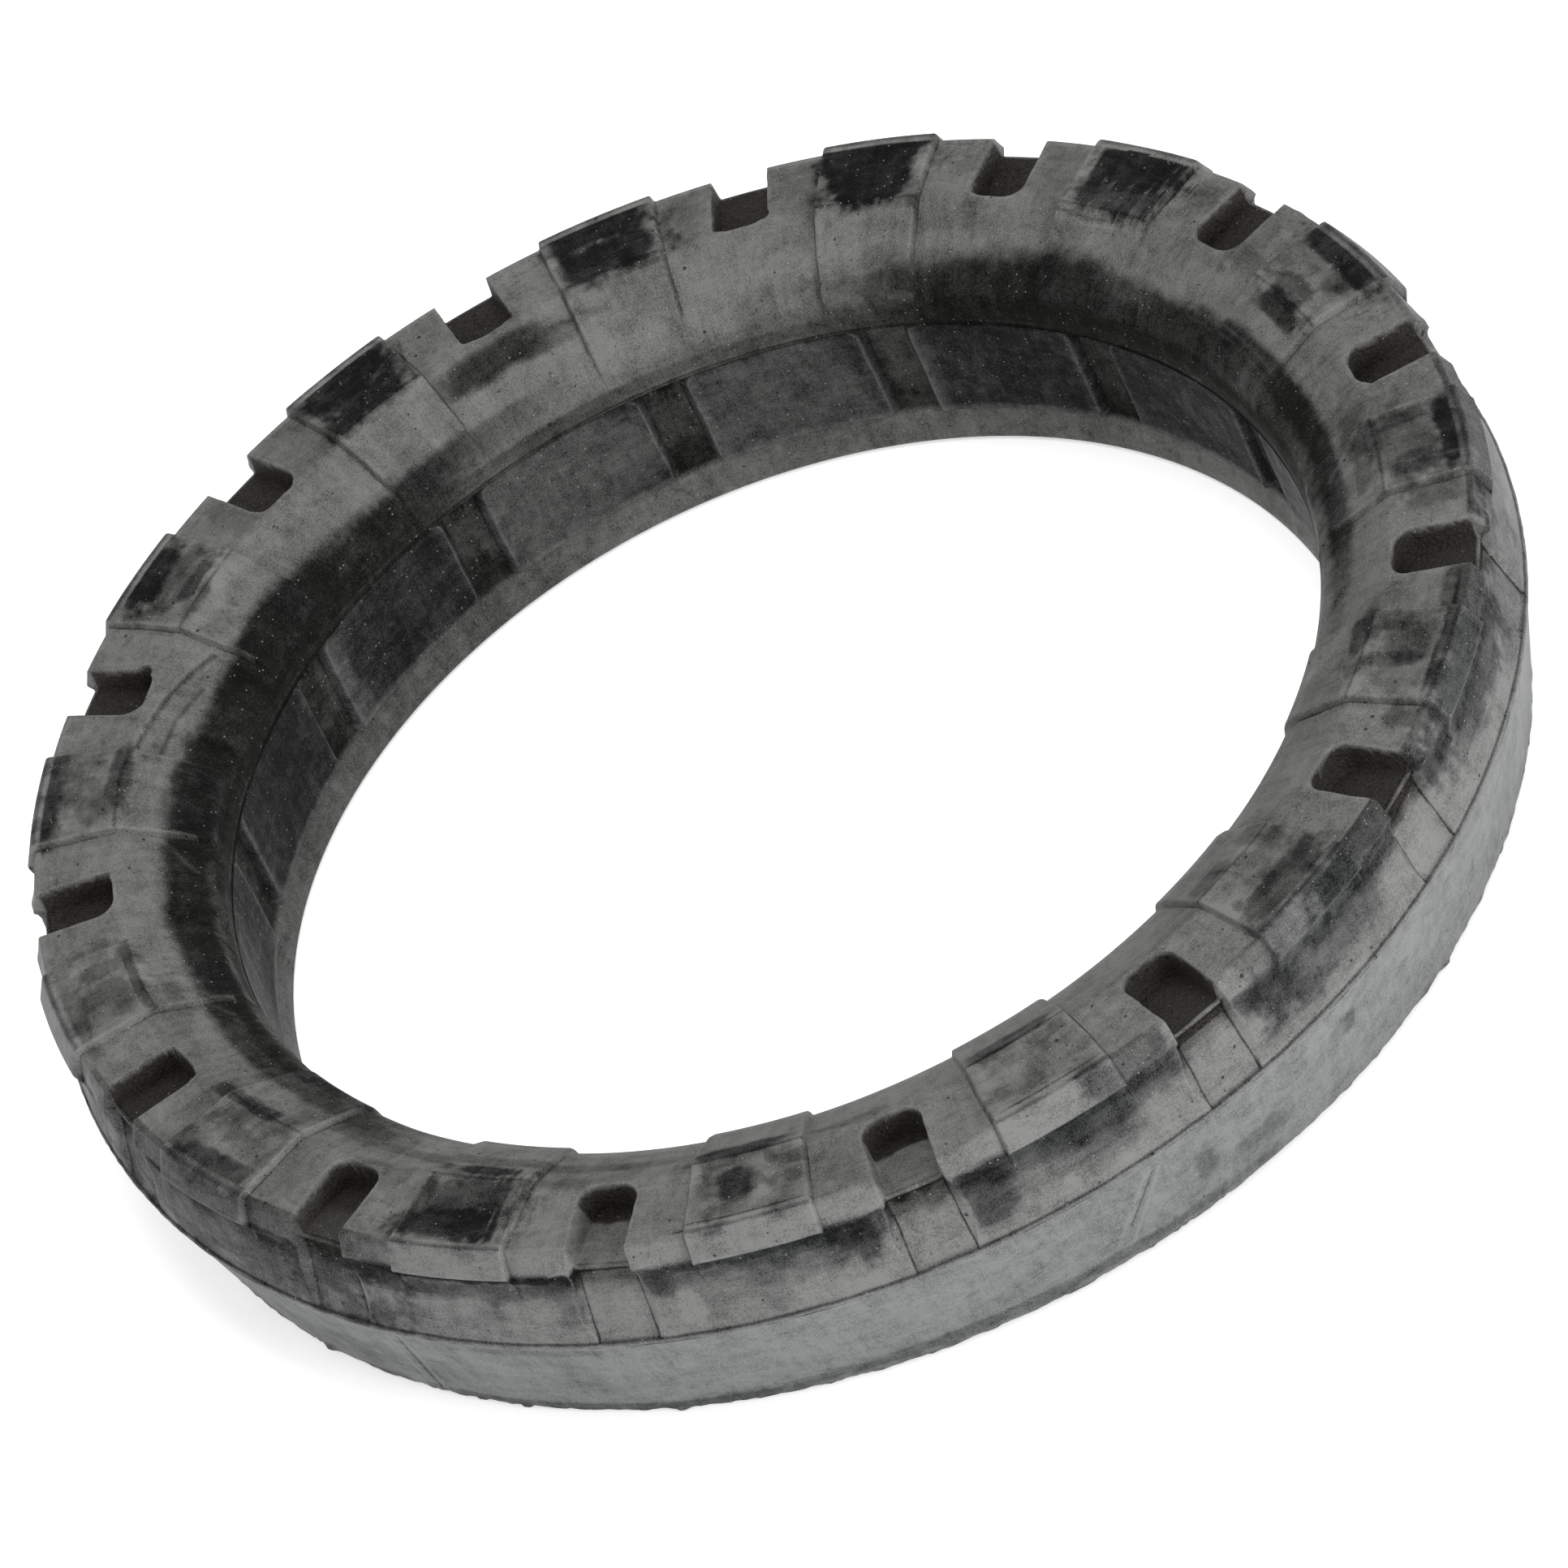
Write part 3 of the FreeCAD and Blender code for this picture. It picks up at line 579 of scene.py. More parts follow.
def pad_patch(i):
    es = np.r_[pad_e, 21.0, pad_e[::-1]]
    sides = np.r_[np.full(len(pad_e), -1.0), 0.0, np.full(len(pad_e), 1.0)]
    zc = pad_z[None]
    w0 = PAD_HALF * np.pi / 180 * SEAT
    base = np.stack([zc + 0 * sides[:, None], sides[:, None] * 9.0 + 0 * zc, i * 37.0 + 0 * zc + 0 * sides[:, None]], -1)
    wander = 0.18 * noise(base, 7.0, 61) + 0.08 * noise(base, 2.4, 62)
    # top corners are rounded off
    up = np.clip(zc - 33.9, 0, 2.95)
    corner = 3.0 - np.sqrt(np.clip(9.0 - up ** 2, 0, 9))
    d = w0 - es[:, None] - corner * (es[:, None] < 5) * np.clip(1 - (es[:, None] - 0) / 5.0, 0, 1) + wander * (es[:, None] < 3)
    d = np.where(sides[:, None] == 0, 0.0, d)
    e = es[:, None] + 0 * zc
    rise = np.clip((e + 1.9) / 2.1, 0, 1)
    rise = 0.5 * smooth(0, 1, rise) + 0.5 * rise
    # ends: at the top just under the seat's edge, at the bottom into the lip
    top_gap = smooth(37.25, 36.75, zc)
    H = rise * (0.25 + 0.75 * top_gap)
    r = 132.62 - (132.62 - SEAT) * H
    ang = sides[:, None] * np.degrees(d / SEAT)
    return ang, r, zc + 0 * ang, e, H


PADS = []
for i in range(N):
    ang, r, z, e, H = pad_patch(i)
    c = PITCH * i
    PADS.append((polar(ang + c, r, z), polar(np.clip(ang, -PAD_HALF, PAD_HALF) + c, 133.4 + 0 * r, np.clip(z, 9.6, 37.0)), e, H, np.stack([ang, r, z], -1)))

# ----------------------------------------------------------------------------
# Surface tone, worked out point by point
# ----------------------------------------------------------------------------
# Positions round the ring are counted in pitches, clockwise seen from the
# front, from the slot at 48 degrees.


def pitch_of(theta):
    """Angle in degrees to pitches, 0 to 15."""
    return np.mod(2.0 - theta / PITCH, 15.0)


def near(k, k0):
    return (k - k0 + 7.5) % 15.0 - 7.5


# Darker places (lighter ones where negative), listed: pitch, place across
# the section in mm, half size in pitches, half size in mm, strength.
FACE = [
    (1.5, 155.5, 0.13, 4, -0.3), (11.5, 154.5, 0.13, 3.5, -0.25),
    (5.22, 158, 0.08, 6, -0.18), (7.22, 158, 0.08, 6, -0.18), (9.22, 158, 0.08, 6, -0.16), (1.22, 158, 0.08, 6, 0.2),
    (0.50, 164.5, 0.20, 6.5, 1.0), (0.44, 163, 0.10, 6, 0.8), (0.5, 155, 0.19, 5.5, 0.8), (0.62, 156, 0.06, 8, 0.45), (0.38, 158, 0.06, 8, 0.4),
    (1.5, 167.0, 0.20, 3.6, 0.9), (1.60, 163, 0.07, 5, 0.55), (1.62, 157, 0.05, 4, 0.3), (1.50, 153.5, 0.10, 3.5, 0.9), (1.5, 147.5, 0.13, 2.5, 0.85), (1.40, 160, 0.10, 8, 0.4),
    (2.5, 167.5, 0.18, 3.0, 0.95), (2.52, 158, 0.17, 7, 0.5), (2.36, 158, 0.04, 8, 0.5), (2.60, 160, 0.05, 6, 0.5), (2.45, 150, 0.14, 2.0, 0.5), (2.5, 146.5, 0.12, 2.5, 0.5),
    (3.45, 169.0, 0.30, 1.2, 0.8), (3.42, 162, 0.12, 6, 0.45), (3.53, 158, 0.03, 8, 0.5), (3.35, 157, 0.05, 6, 0.3), (3.38, 148.5, 0.12, 2.5, 0.7),
    (4.5, 165.5, 0.20, 4.5, 0.7), (4.42, 158, 0.14, 6, 0.4), (4.36, 150, 0.05, 8, 0.4), (4.6, 147, 0.10, 3, 0.5),
    (5.5, 169.3, 0.20, 0.9, 0.85), (5.45, 162, 0.12, 5, 0.12), (5.58, 154, 0.06, 4, 0.3), (5.5, 148, 0.18, 2.6, 0.75),
    (6.5, 169.3, 0.20, 0.9, 0.85), (6.53, 159.5, 0.06, 4.5, 0.8), (6.62, 157, 0.05, 5, 0.3), (6.56, 148, 0.17, 2.4, 0.85), (6.38, 162, 0.06, 3, 0.4), (6.12, 148, 0.14, 2.0, 0.45),
    (7.52, 164.5, 0.22, 4.6, 0.91), (7.50, 157, 0.20, 7.0, 0.76), (7.38, 154, 0.04, 6, 0.5), (7.52, 147.3, 0.18, 1.9, 0.85), (7.66, 158, 0.03, 8, 0.6),
    (8.5, 167.0, 0.18, 3.0, 0.78), (8.66, 166, 0.07, 4, 0.6), (8.5, 156, 0.12, 5, 0.25), (8.6, 150.5, 0.15, 1.8, 0.75), (8.36, 150, 0.05, 5, 0.4), (7.9, 152, 0.12, 3, 0.35),
    (9.45, 167, 0.18, 2.5, 0.45), (9.60, 158, 0.05, 6, 0.6), (9.45, 157, 0.10, 4, 0.4), (9.5, 151.8, 0.18, 1.2, 0.6), (9.7, 160, 0.05, 7, 0.35),
    (10.5, 168, 0.18, 3.4, 0.85), (10.56, 163, 0.10, 3, 0.4), (10.45, 156, 0.12, 5, 0.15), (10.55, 151, 0.19, 2.5, 0.55),
    (11.5, 166, 0.18, 4.2, 0.93), (11.5, 159, 0.17, 4.0, 0.65), (11.52, 154.3, 0.10, 1.6, 0.95), (11.45, 151, 0.10, 1.8, 0.5),
    (12.5, 165, 0.19, 6.5, 0.97), (12.48, 156, 0.18, 6.5, 0.9), (12.35, 161, 0.03, 9, 0.7),
    (13.5, 166, 0.20, 5.5, 0.95), (13.52, 156, 0.18, 6.5, 0.88), (13.42, 160, 0.06, 4, 0.7), (13.5, 150.5, 0.17, 0.8, 0.5),
    (14.5, 165, 0.20, 6.5, 1.0), (14.5, 155, 0.19, 5.5, 0.96), (14.38, 160, 0.05, 8, 0.8),
    (0.82, 162, 0.06, 5, 0.35), (1.14, 158, 0.05, 9, 0.22), (12.2, 160, 0.10, 9, 0.25), (11.85, 160, 0.06, 8, 0.2), (13.8, 160, 0.07, 9, 0.25), (14.2, 160, 0.09, 9, 0.2),
    (0.2, 160, 0.08, 9, 0.22), (0.0, 147, 0.30, 3, 0.1), (8.25, 158, 0.08, 9, 0.2), (6.2, 158, 0.08, 8, 0.2), (2.2, 158, 0.07, 9, 0.2), (3.2, 160, 0.08, 9, 0.2), (1.05, 152, 0.22, 4, 0.2), (13.02, 152.5, 0.12, 2.5, 0.35), (2.75, 163, 0.06, 7, 0.4), (3.76, 166, 0.05, 5, 0.5), (3.2, 168, 0.10, 3, 0.5), (8.75, 155, 0.05, 7, 0.3), (7.2, 150, 0.10, 2, 0.25), (9.12, 150, 0.2, 3, 0.15), (4.8, 150, 0.12, 2.5, 0.3),
]
# the lighter patches at pitches 13 to 14.5 are painted sheen on the far slope
SLOPE = [
    (1.0, 133.5, 1.5, 5.5, 0.85), (0.72, 138.0, 0.13, 3.2, -0.20), (1.62, 135.5, 0.16, 4.0, -0.18), (13.0, 132.0, 0.4, 2.0, -0.12), (2.2, 138, 0.9, 3.2, 0.8), (0.3, 137, 0.35, 4.0, 0.45), (0.1, 132, 0.4, 2.0, 0.2), (1.6, 138.5, 0.5, 1.8, 0.5),
    (11.0, 134.5, 0.9, 4.5, 0.9), (9.9, 136, 0.85, 5.5, 0.92), (8.7, 138.5, 0.6, 3.0, 0.75), (9.0, 134.0, 0.9, 2.6, 0.9), (12.05, 132.5, 0.5, 2.6, 0.6), (9.35, 145.5, 0.12, 2.0, 0.3),
    (12.95, 145.5, 0.24, 4.0, 0.85), (13.2, 143.5, 0.18, 2.4, 0.45), (10.5, 146, 0.3, 2.4, 0.2), (7.6, 143, 0.8, 1.8, 0.45), (2.3, 146, 0.12, 3.0, 0.5), (2.15, 143, 0.06, 4, 0.4), (11.6, 134.5, 0.6, 3.2, 0.75), (12.3, 132.6, 0.4, 1.8, 0.6), (12.7, 133.2, 0.4, 2.0, 0.55), (14.6, 133.0, 0.3, 1.8, 0.4),
    (13.55, 134, 0.35, 4.0, -0.35), (13.4, 141, 0.22, 4.0, -0.2), (14.2, 140, 0.5, 4.0, -0.15), (11.5, 147.5, 0.20, 2.2, -0.3),
]
# the broad patches at pitches 8.6 and 9.8 are painted shade on the side turned away from the key light
SCOOP = [
    (6.60, 10, 0.20, 8, 0.18), (5.5, 5, 0.22, 3, -0.20),
    (4.0, 18, 0.5, 3.5, 0.5), (4.5, 13, 0.30, 6, 0.55), (4.6, 6, 0.3, 3, 0.2), (5.6, 13, 0.25, 7, 0.35), (5.6, 19, 0.4, 2, 0.5), (6.35, 15, 0.2, 6, 0.4), (6.5, 19.3, 0.4, 1.6, 0.6),
    (7.6, 19.6, 0.5, 1.7, 0.95), (8.6, 11, 0.8, 14, 0.72), (9.8, 10, 0.8, 14, 0.45), (7.15, 12, 0.04, 8, 0.4), (6.77, 8, 0.035, 4.5, -0.95), (6.05, 3, 0.3, 2, -0.2), (5.80, 12, 0.09, 8, 0.65), (6.22, 14, 0.08, 6, 0.65), (6.85, 16, 0.05, 4, 0.5), (5.35, 16, 0.2, 4, 0.5), (5.4, 9, 0.12, 5, 0.35), (7.6, 15.5, 0.45, 2.5, 0.4), (4.75, 13, 0.08, 7, 0.5), (8.2, 12, 0.12, 8, 0.3), (6.42, 5, 0.04, 3, -0.4), (4.05, 5, 0.1, 4, -0.2),
    (3.35, 15, 0.35, 7, 0.7), (3.0, 8, 0.3, 6, 0.4), (2.2, 14, 0.6, 8, 0.3),
]
# the broad patch at pitch 8.5 is painted shade on the side turned away from the key light
BAND = [(8.5, 24, 0.7, 5, 0.62), (8.5, 27, 0.2, 2.5, 0.4), (4.2, 24, 0.34, 5, 0.8), (4.6, 24, 0.20, 5, 0.45), (5.28, 24, 0.13, 4, 0.68), (3.35, 24, 0.5, 6, 0.75), (2.5, 24, 0.4, 6, 0.5), (5.9, 24, 0.15, 4, 0.1), (6.5, 24, 0.3, 4, -0.25), (5.5, 24, 0.25, 4, -0.2), (7.4, 24, 0.3, 4, -0.2), (2.0, 24, 0.8, 6, 0.4)]
# the broad patches at pitches 8.6 and 9.8 are painted shade on the side turned away from the key light
BACK_TONE = [
    (7.4, -3, 0.25, 1.6, 0.3), (7.25, -12, 0.10, 8, 0.22), (7.65, -7, 0.04, 6, 0.25), (5.17, -14, 0.045, 6, 0.5), (4.55, -10, 0.03, 3, 0.5), (4.95, -19, 0.12, 3, 0.35),
    (8.6, -14, 0.7, 18, 0.35), (8.05, -18, 0.4, 6, 0.25), (9.8, -14, 1.0, 20, 0.4), (6.1, -12, 0.35, 9, -0.10), (5.9, -27, 0.9, 2.0, 0.45), (7.2, -28.5, 0.8, 1.6, 0.6), (4.7, -5, 0.05, 4, -0.2), (6.37, -17, 0.015, 4, -0.3),
]
BORE = [
    (12.95, -8, 0.40, 16, -0.38), (14.0, -8, 0.38, 16, -0.32), (13.5, -5, 0.12, 8, -0.2), (11.62, -8, 0.08, 14, -0.30), (14.55, -8, 0.10, 16, -0.35), (0.52, -6, 0.08, 16, 0.15),
    (9.6, -8, 0.38, 16, -0.05), (11.0, -8, 0.36, 16, 0.75), (12.5, -5, 0.10, 9, -0.25), (11.5, -12, 0.10, 4, -0.02), (14.5, 6, 0.10, 5, -0.35), (10.0, -4, 0.12, 10, -0.04), (13.5, -18, 0.12, 4, 0.3), (12.5, -18, 0.12, 4, 0.3), (2.2, -8, 0.5, 20, -0.2),
]


def paint(table, k, a, pts, stretch, rough=1.0, soft=1.0):
    """Sum of the patches in a table, with broken, streaky outlines. stretch is
    a second coordinate that the streaks follow."""
    n1 = fbm(stretch, 6.0, 101, 3)
    n2 = fbm(pts, 7.0, 102, 3)
    n3 = noise(pts, 1.3, 103)
    out = np.zeros_like(a)
    low = np.zeros_like(a)
    warp = rough * (0.42 * n1 + 0.38 * n2 + 0.16 * n3)
    for k0, a0, hk, ha, s in table:
        dk = np.abs(near(k, k0)) / hk
        if not (dk < 2.2).any():
            continue
        d = (dk ** 3 + (np.abs(a - a0) / ha) ** 3) ** (1 / 3.0)
        v = smooth(1.02 + 0.34 * soft, 1.02 - 0.34 * soft, d + warp)
        if s > 0:
            out = 1 - (1 - out) * (1 - s * v)
        else:
            low = np.maximum(low, -s * v)
    return out, low


def streaks_radial(pts, r):
    """Noise that runs in streaks along the radius."""
    t = np.arctan2(pts[..., 1], pts[..., 0])
    return np.stack([np.cos(t) * 160.0, np.sin(t) * 160.0, r * 0.28], -1)


def streaks_round(pts, r):
    """Noise that runs in streaks round the ring."""
    t = np.arctan2(pts[..., 1], pts[..., 0])
    return np.stack([np.cos(t) * 46.0, np.sin(t) * 46.0, r * 1.0 - 0.4 * pts[..., 2]], -1)


def streaks_upright(pts, z):
    t = np.arctan2(pts[..., 1], pts[..., 0])
    return np.stack([np.cos(t) * 170.0, np.sin(t) * 170.0, z * 0.3], -1)


def scratches(k, a, table, mmk):
    """Thin lines in pitch and section coordinates: dark below 0, pale above."""
    out = np.zeros_like(a)
    for pts_, width, value in table:
        for (ka, aa), (kb, ab) in zip(pts_[:-1], pts_[1:]):
            px, py = near(k, ka) * mmk, a - aa
            dx, dy = (kb - ka) * mmk, ab - aa
            t = np.clip((px * dx + py * dy) / (dx * dx + dy * dy), 0, 1)
            v = np.clip(1 - np.hypot(px - t * dx, py - t * dy) / width, 0, 1)
            out = np.where(np.abs(v * value) > np.abs(out), v * value, out)
    return out


def front_tone(pts, raised):
    """Bloom of the front cover and the lugs, with painted shade and highlights worked in: 0 bare black rubber, 1 pale
    grey.
    """
    r = np.hypot(pts[..., 0], pts[..., 1])
    theta = np.degrees(np.arctan2(pts[..., 1], pts[..., 0]))
    z = pts[..., 2]
    zr = z - 31.0
    k = pitch_of(theta)
    side_on = smooth(3.6, 2.8, np.abs(near(k, 3.9)))[..., None]
    wiped = streaks_radial(pts, r) * (1 - side_on) + (streaks_round(pts, r) * np.array([1.0, 1.0, 1.0]) + 300.0) * side_on
    face, face_l = paint(FACE, k, r, pts, wiped, 0.95, 0.8)
    slope, slope_l = paint(SLOPE, k, r, pts, streaks_round(pts, r), 0.5, 1.15)
    scoop, scoop_l = paint(SCOOP, k, zr, pts, streaks_upright(pts, z))
    band, band_l = paint(BAND, k, zr, pts, streaks_upright(pts, z))
    base = 0.67 + 0.12 * fbm(pts, 24.0, 201, 3) + 0.07 * fbm(streaks_radial(pts, r), 7.0, 207, 3) + 0.10 * fbm(streaks_round(pts, r), 5.0, 208, 3)
    is_face = smooth(170.6, 169.4, r) * smooth(49.0, 51.5, z + 0.0 * r)
    is_scoop = (r > 169.0) * smooth(53.2, 51.2, z)
    is_band = (r > 169.0) * (1 - is_scoop)
    b = base * (1 - face * np.where(r > 144.0, 1.0, 0.0)) + face_l * 0.6 * smooth(144.0, 147.0, r)
    s_zone = smooth(151.0, 149.0, r)
    b = b * (1 - slope * s_zone) + slope_l * s_zone * 0.6
    # the nose is dark except over a stretch at the far side
    far = smooth(1.5, 0.6, np.abs(near(k, 13.4)))
    nose = smooth(47.0, 43.5, z) * (r < 136)
    b = b * (1 - nose * (0.84 - 0.54 * far))
    b = b * (1 - 0.75 * bump(z, 37.75, 0.45) * (r < 132)) + 0.16 * bump(z, 38.5, 0.55) * (r < 132) * smooth(-0.5, 0.4, noise(pts, 16.0, 223))
    seat = smooth(43.0, 41.5, z) * (r < 134)
    b = b * (1 - 0.40 * seat * (bump(near(k, 11.0), 0, 0.40) + bump(near(k, 13.0), 0, 0.35)))
    b = b * (1 - 0.45 * seat)
    b = np.where(r > 169.0, (0.78 + 0.10 * fbm(streaks_upright(pts, z), 7.0, 209, 3)) * 1.0, b)
    # painted shade on the top of the scoop, under the overhanging band
    under = smooth(11.5, 17.0, zr + 2.2 * noise(pts, 5.0, 217)) * is_scoop
    b = b * (1 - scoop * is_scoop) * (1 - band * is_band) * (1 - 0.62 * under) + (scoop_l * is_scoop + band_l * is_band) * 0.6
    # painted shade in the corner above the outer parting line's ledge, painted highlight along the flash lip below it
    b = b * (1 - 0.75 * bump(z, 31.95 + 0.12 * noise(pts, 6.0, 219), 0.55) * (r > 170)) + 0.26 * bump(z, 31.15, 0.4) * (r > 170) * smooth(-0.4, 0.3, noise(pts, 18.0, 221))
    return np.clip(b, 0.02, 1), k, r, z


SCRATCHES = [
    ([(10.6, 150.2), (10.8, 149.2), (11.0, 147.0), (11.15, 144.5), (11.25, 142.2)], 0.9, -0.7),
    ([(10.62, 151.0), (10.82, 150.0), (11.02, 147.9), (11.17, 145.4), (11.27, 143.0)], 0.7, 0.5),
    ([(10.7, 144.6), (10.9, 143.8), (11.08, 141.2)], 0.9, -0.6),
    ([(10.4, 143.0), (10.6, 145.4), (10.72, 145.3)], 0.6, 0.4),
    ([(10.36, 149.0), (10.33, 145.0), (10.25, 140.0), (10.12, 134.5)], 1.0, 0.45),
    ([(9.35, 144.0), (9.3, 140.0), (9.2, 136.5)], 1.0, 0.45),
    ([(11.33, 150.5), (11.31, 145.0), (11.24, 139.0)], 0.8, 0.35),
    ([(8.28, 164.0), (8.30, 155.0), (8.33, 147.0), (8.27, 142.0)], 1.0, 0.5),
    ([(0.31, 147.4), (0.45, 146.6), (0.66, 147.6)], 0.7, 0.6), ([(0.30, 149.2), (0.46, 147.9), (0.60, 148.8)], 0.6, -0.6),
    ([(13.05, 149.5), (13.2, 146.0), (13.45, 142.5)], 1.4, -0.35),
    ([(14.0, 141.5), (14.2, 138.5), (14.35, 136.0)], 0.6, 0.35), ([(13.6, 146.5), (13.8, 145.0), (13.95, 145.8)], 0.6, 0.3),
    ([(2.30, 148.0), (2.36, 144.0), (2.44, 138.0)], 1.2, 0.5), ([(2.03, 146.0), (2.25, 141.8), (2.36, 141.0)], 0.6, 0.4),
    ([(0.72, 150.5), (0.76, 143.0), (0.84, 134.0)], 1.0, 0.45), ([(1.05, 139.0), (1.3, 138.6), (1.75, 138.0)], 0.5, 0.35), ([(1.1, 137.0), (1.4, 136.8), (1.7, 136.0)], 0.5, 0.3),
    ([(6.05, 151.0), (6.14, 149.5), (6.28, 146.0)], 0.6, -0.45), ([(6.1, 152.5), (6.2, 150.0), (6.32, 147.5)], 0.5, 0.3),
    ([(3.76, 172.0), (3.72, 165.0), (3.68, 158.0)], 0.6, 0.3), ([(2.62, 172.0), (2.60, 164.0), (2.58, 154.0)], 0.7, 0.35), ([(2.92, 172.0), (2.89, 162.0), (2.92, 154.0)], 0.6, 0.3),
    ([(7.34, 167.0), (7.35, 158.0), (7.35, 149.0)], 0.7, 0.45), ([(1.72, 167.0), (1.73, 158.0), (1.71, 152.5)], 0.5, 0.45), ([(1.77, 163.0), (1.75, 157.0)], 0.4, -0.5),
    ([(6.64, 156.5), (6.66, 150.0)], 0.6, -0.4), ([(12.74, 168.0), (12.70, 160.0), (12.68, 151.0)], 0.5, -0.5), ([(5.12, 162.0), (5.2, 156.0)], 0.4, 0.3),
]

# ----------------------------------------------------------------------------
# Materials
# ----------------------------------------------------------------------------


class Graph:
    def __init__(self, name):
        self.mat = bpy.data.materials.new(name)
        self.mat.use_nodes = True
        self.t = self.mat.node_tree
        self.t.nodes.clear()
        self.out = self.t.nodes.new("ShaderNodeOutputMaterial")
        self.bsdf = self.t.nodes.new("ShaderNodeBsdfPrincipled")
        self.t.links.new(self.bsdf.outputs[0], self.out.inputs[0])
        tc = self.t.nodes.new("ShaderNodeTexCoord")
        mm = self.t.nodes.new("ShaderNodeVectorMath")
        mm.operation = "SCALE"
        mm.inputs["Scale"].default_value = 1000.0
        self.t.links.new(tc.outputs["Object"], mm.inputs[0])
        self.pos = mm.outputs[0]

    def put(self, sock, value):
        if isinstance(value, bpy.types.NodeSocket):
            self.t.links.new(value, sock)
        else:
            sock.default_value = value

    def attr(self, name):
        n = self.t.nodes.new("ShaderNodeAttribute")
        n.attribute_name = name
        return n.outputs["Fac"]

    def math(self, op, a, b=0.0, c=0.0, clamp=False):
        n = self.t.nodes.new("ShaderNodeMath")
        n.operation = op
        n.use_clamp = clamp
        self.put(n.inputs[0], a)
        self.put(n.inputs[1], b)
        if len(n.inputs) > 2:
            self.put(n.inputs[2], c)
        return n.outputs[0]

    def noise(self, size, detail=2.0, rough=0.5, pos=None, distortion=0.0):
        n = self.t.nodes.new("ShaderNodeTexNoise")
        n.inputs["Scale"].default_value = 1.0 / size
        n.inputs["Detail"].default_value = detail
        n.inputs["Roughness"].default_value = rough
        n.inputs["Distortion"].default_value = distortion
        self.t.links.new(pos or self.pos, n.inputs["Vector"])
        return n.outputs["Fac"]

    def cells(self, size, feature="F1", randomness=1.0):
        n = self.t.nodes.new("ShaderNodeTexVoronoi")
        n.feature = feature
        n.inputs["Scale"].default_value = 1.0 / size
        n.inputs["Randomness"].default_value = randomness
        self.t.links.new(self.pos, n.inputs["Vector"])
        return n

    def remap(self, v, a, b, c=0.0, d=1.0, clamp=True, smoothstep=False):
        n = self.t.nodes.new("ShaderNodeMapRange")
        n.clamp = clamp
        if smoothstep:
            n.interpolation_type = "SMOOTHSTEP"
        self.put(n.inputs[0], v)
        for i, x in enumerate((a, b, c, d), start=1):
            self.put(n.inputs[i], x)
        return n.outputs[0]

    def mix(self, f, a, b):
        n = self.t.nodes.new("ShaderNodeMix")
        n.data_type = "RGBA"
        self.put(n.inputs[0], f)
        for sock, v in ((n.inputs[6], a), (n.inputs[7], b)):
            if isinstance(v, tuple):
                sock.default_value = (*v, 1.0)
            else:
                self.put(sock, v)
        return n.outputs[2]

    def bump(self, height, strength, distance, normal=None):
        n = self.t.nodes.new("ShaderNodeBump")
        n.inputs["Strength"].default_value = strength
        n.inputs["Distance"].default_value = distance
        self.put(n.inputs["Height"], height)
        if normal is not None:
            self.t.links.new(normal, n.inputs["Normal"])
        return n.outputs[0]


def pinholes(g, size, chance, radius):
    """1 inside a few small round pits, with their chance and radius in cells."""
    v = g.cells(size)
    sep = g.t.nodes.new("ShaderNodeSeparateColor")
    g.t.links.new(v.outputs["Color"], sep.inputs[0])
    there = g.math("LESS_THAN", sep.outputs[0], chance)
    rad = g.math("MULTIPLY_ADD", sep.outputs[1], radius * 0.7, radius * 0.45)
    inside = g.remap(g.math("DIVIDE", v.outputs["Distance"], rad), 1.15, 0.7, 0.0, 1.0, smoothstep=True)
    return g.math("MULTIPLY", there, inside)


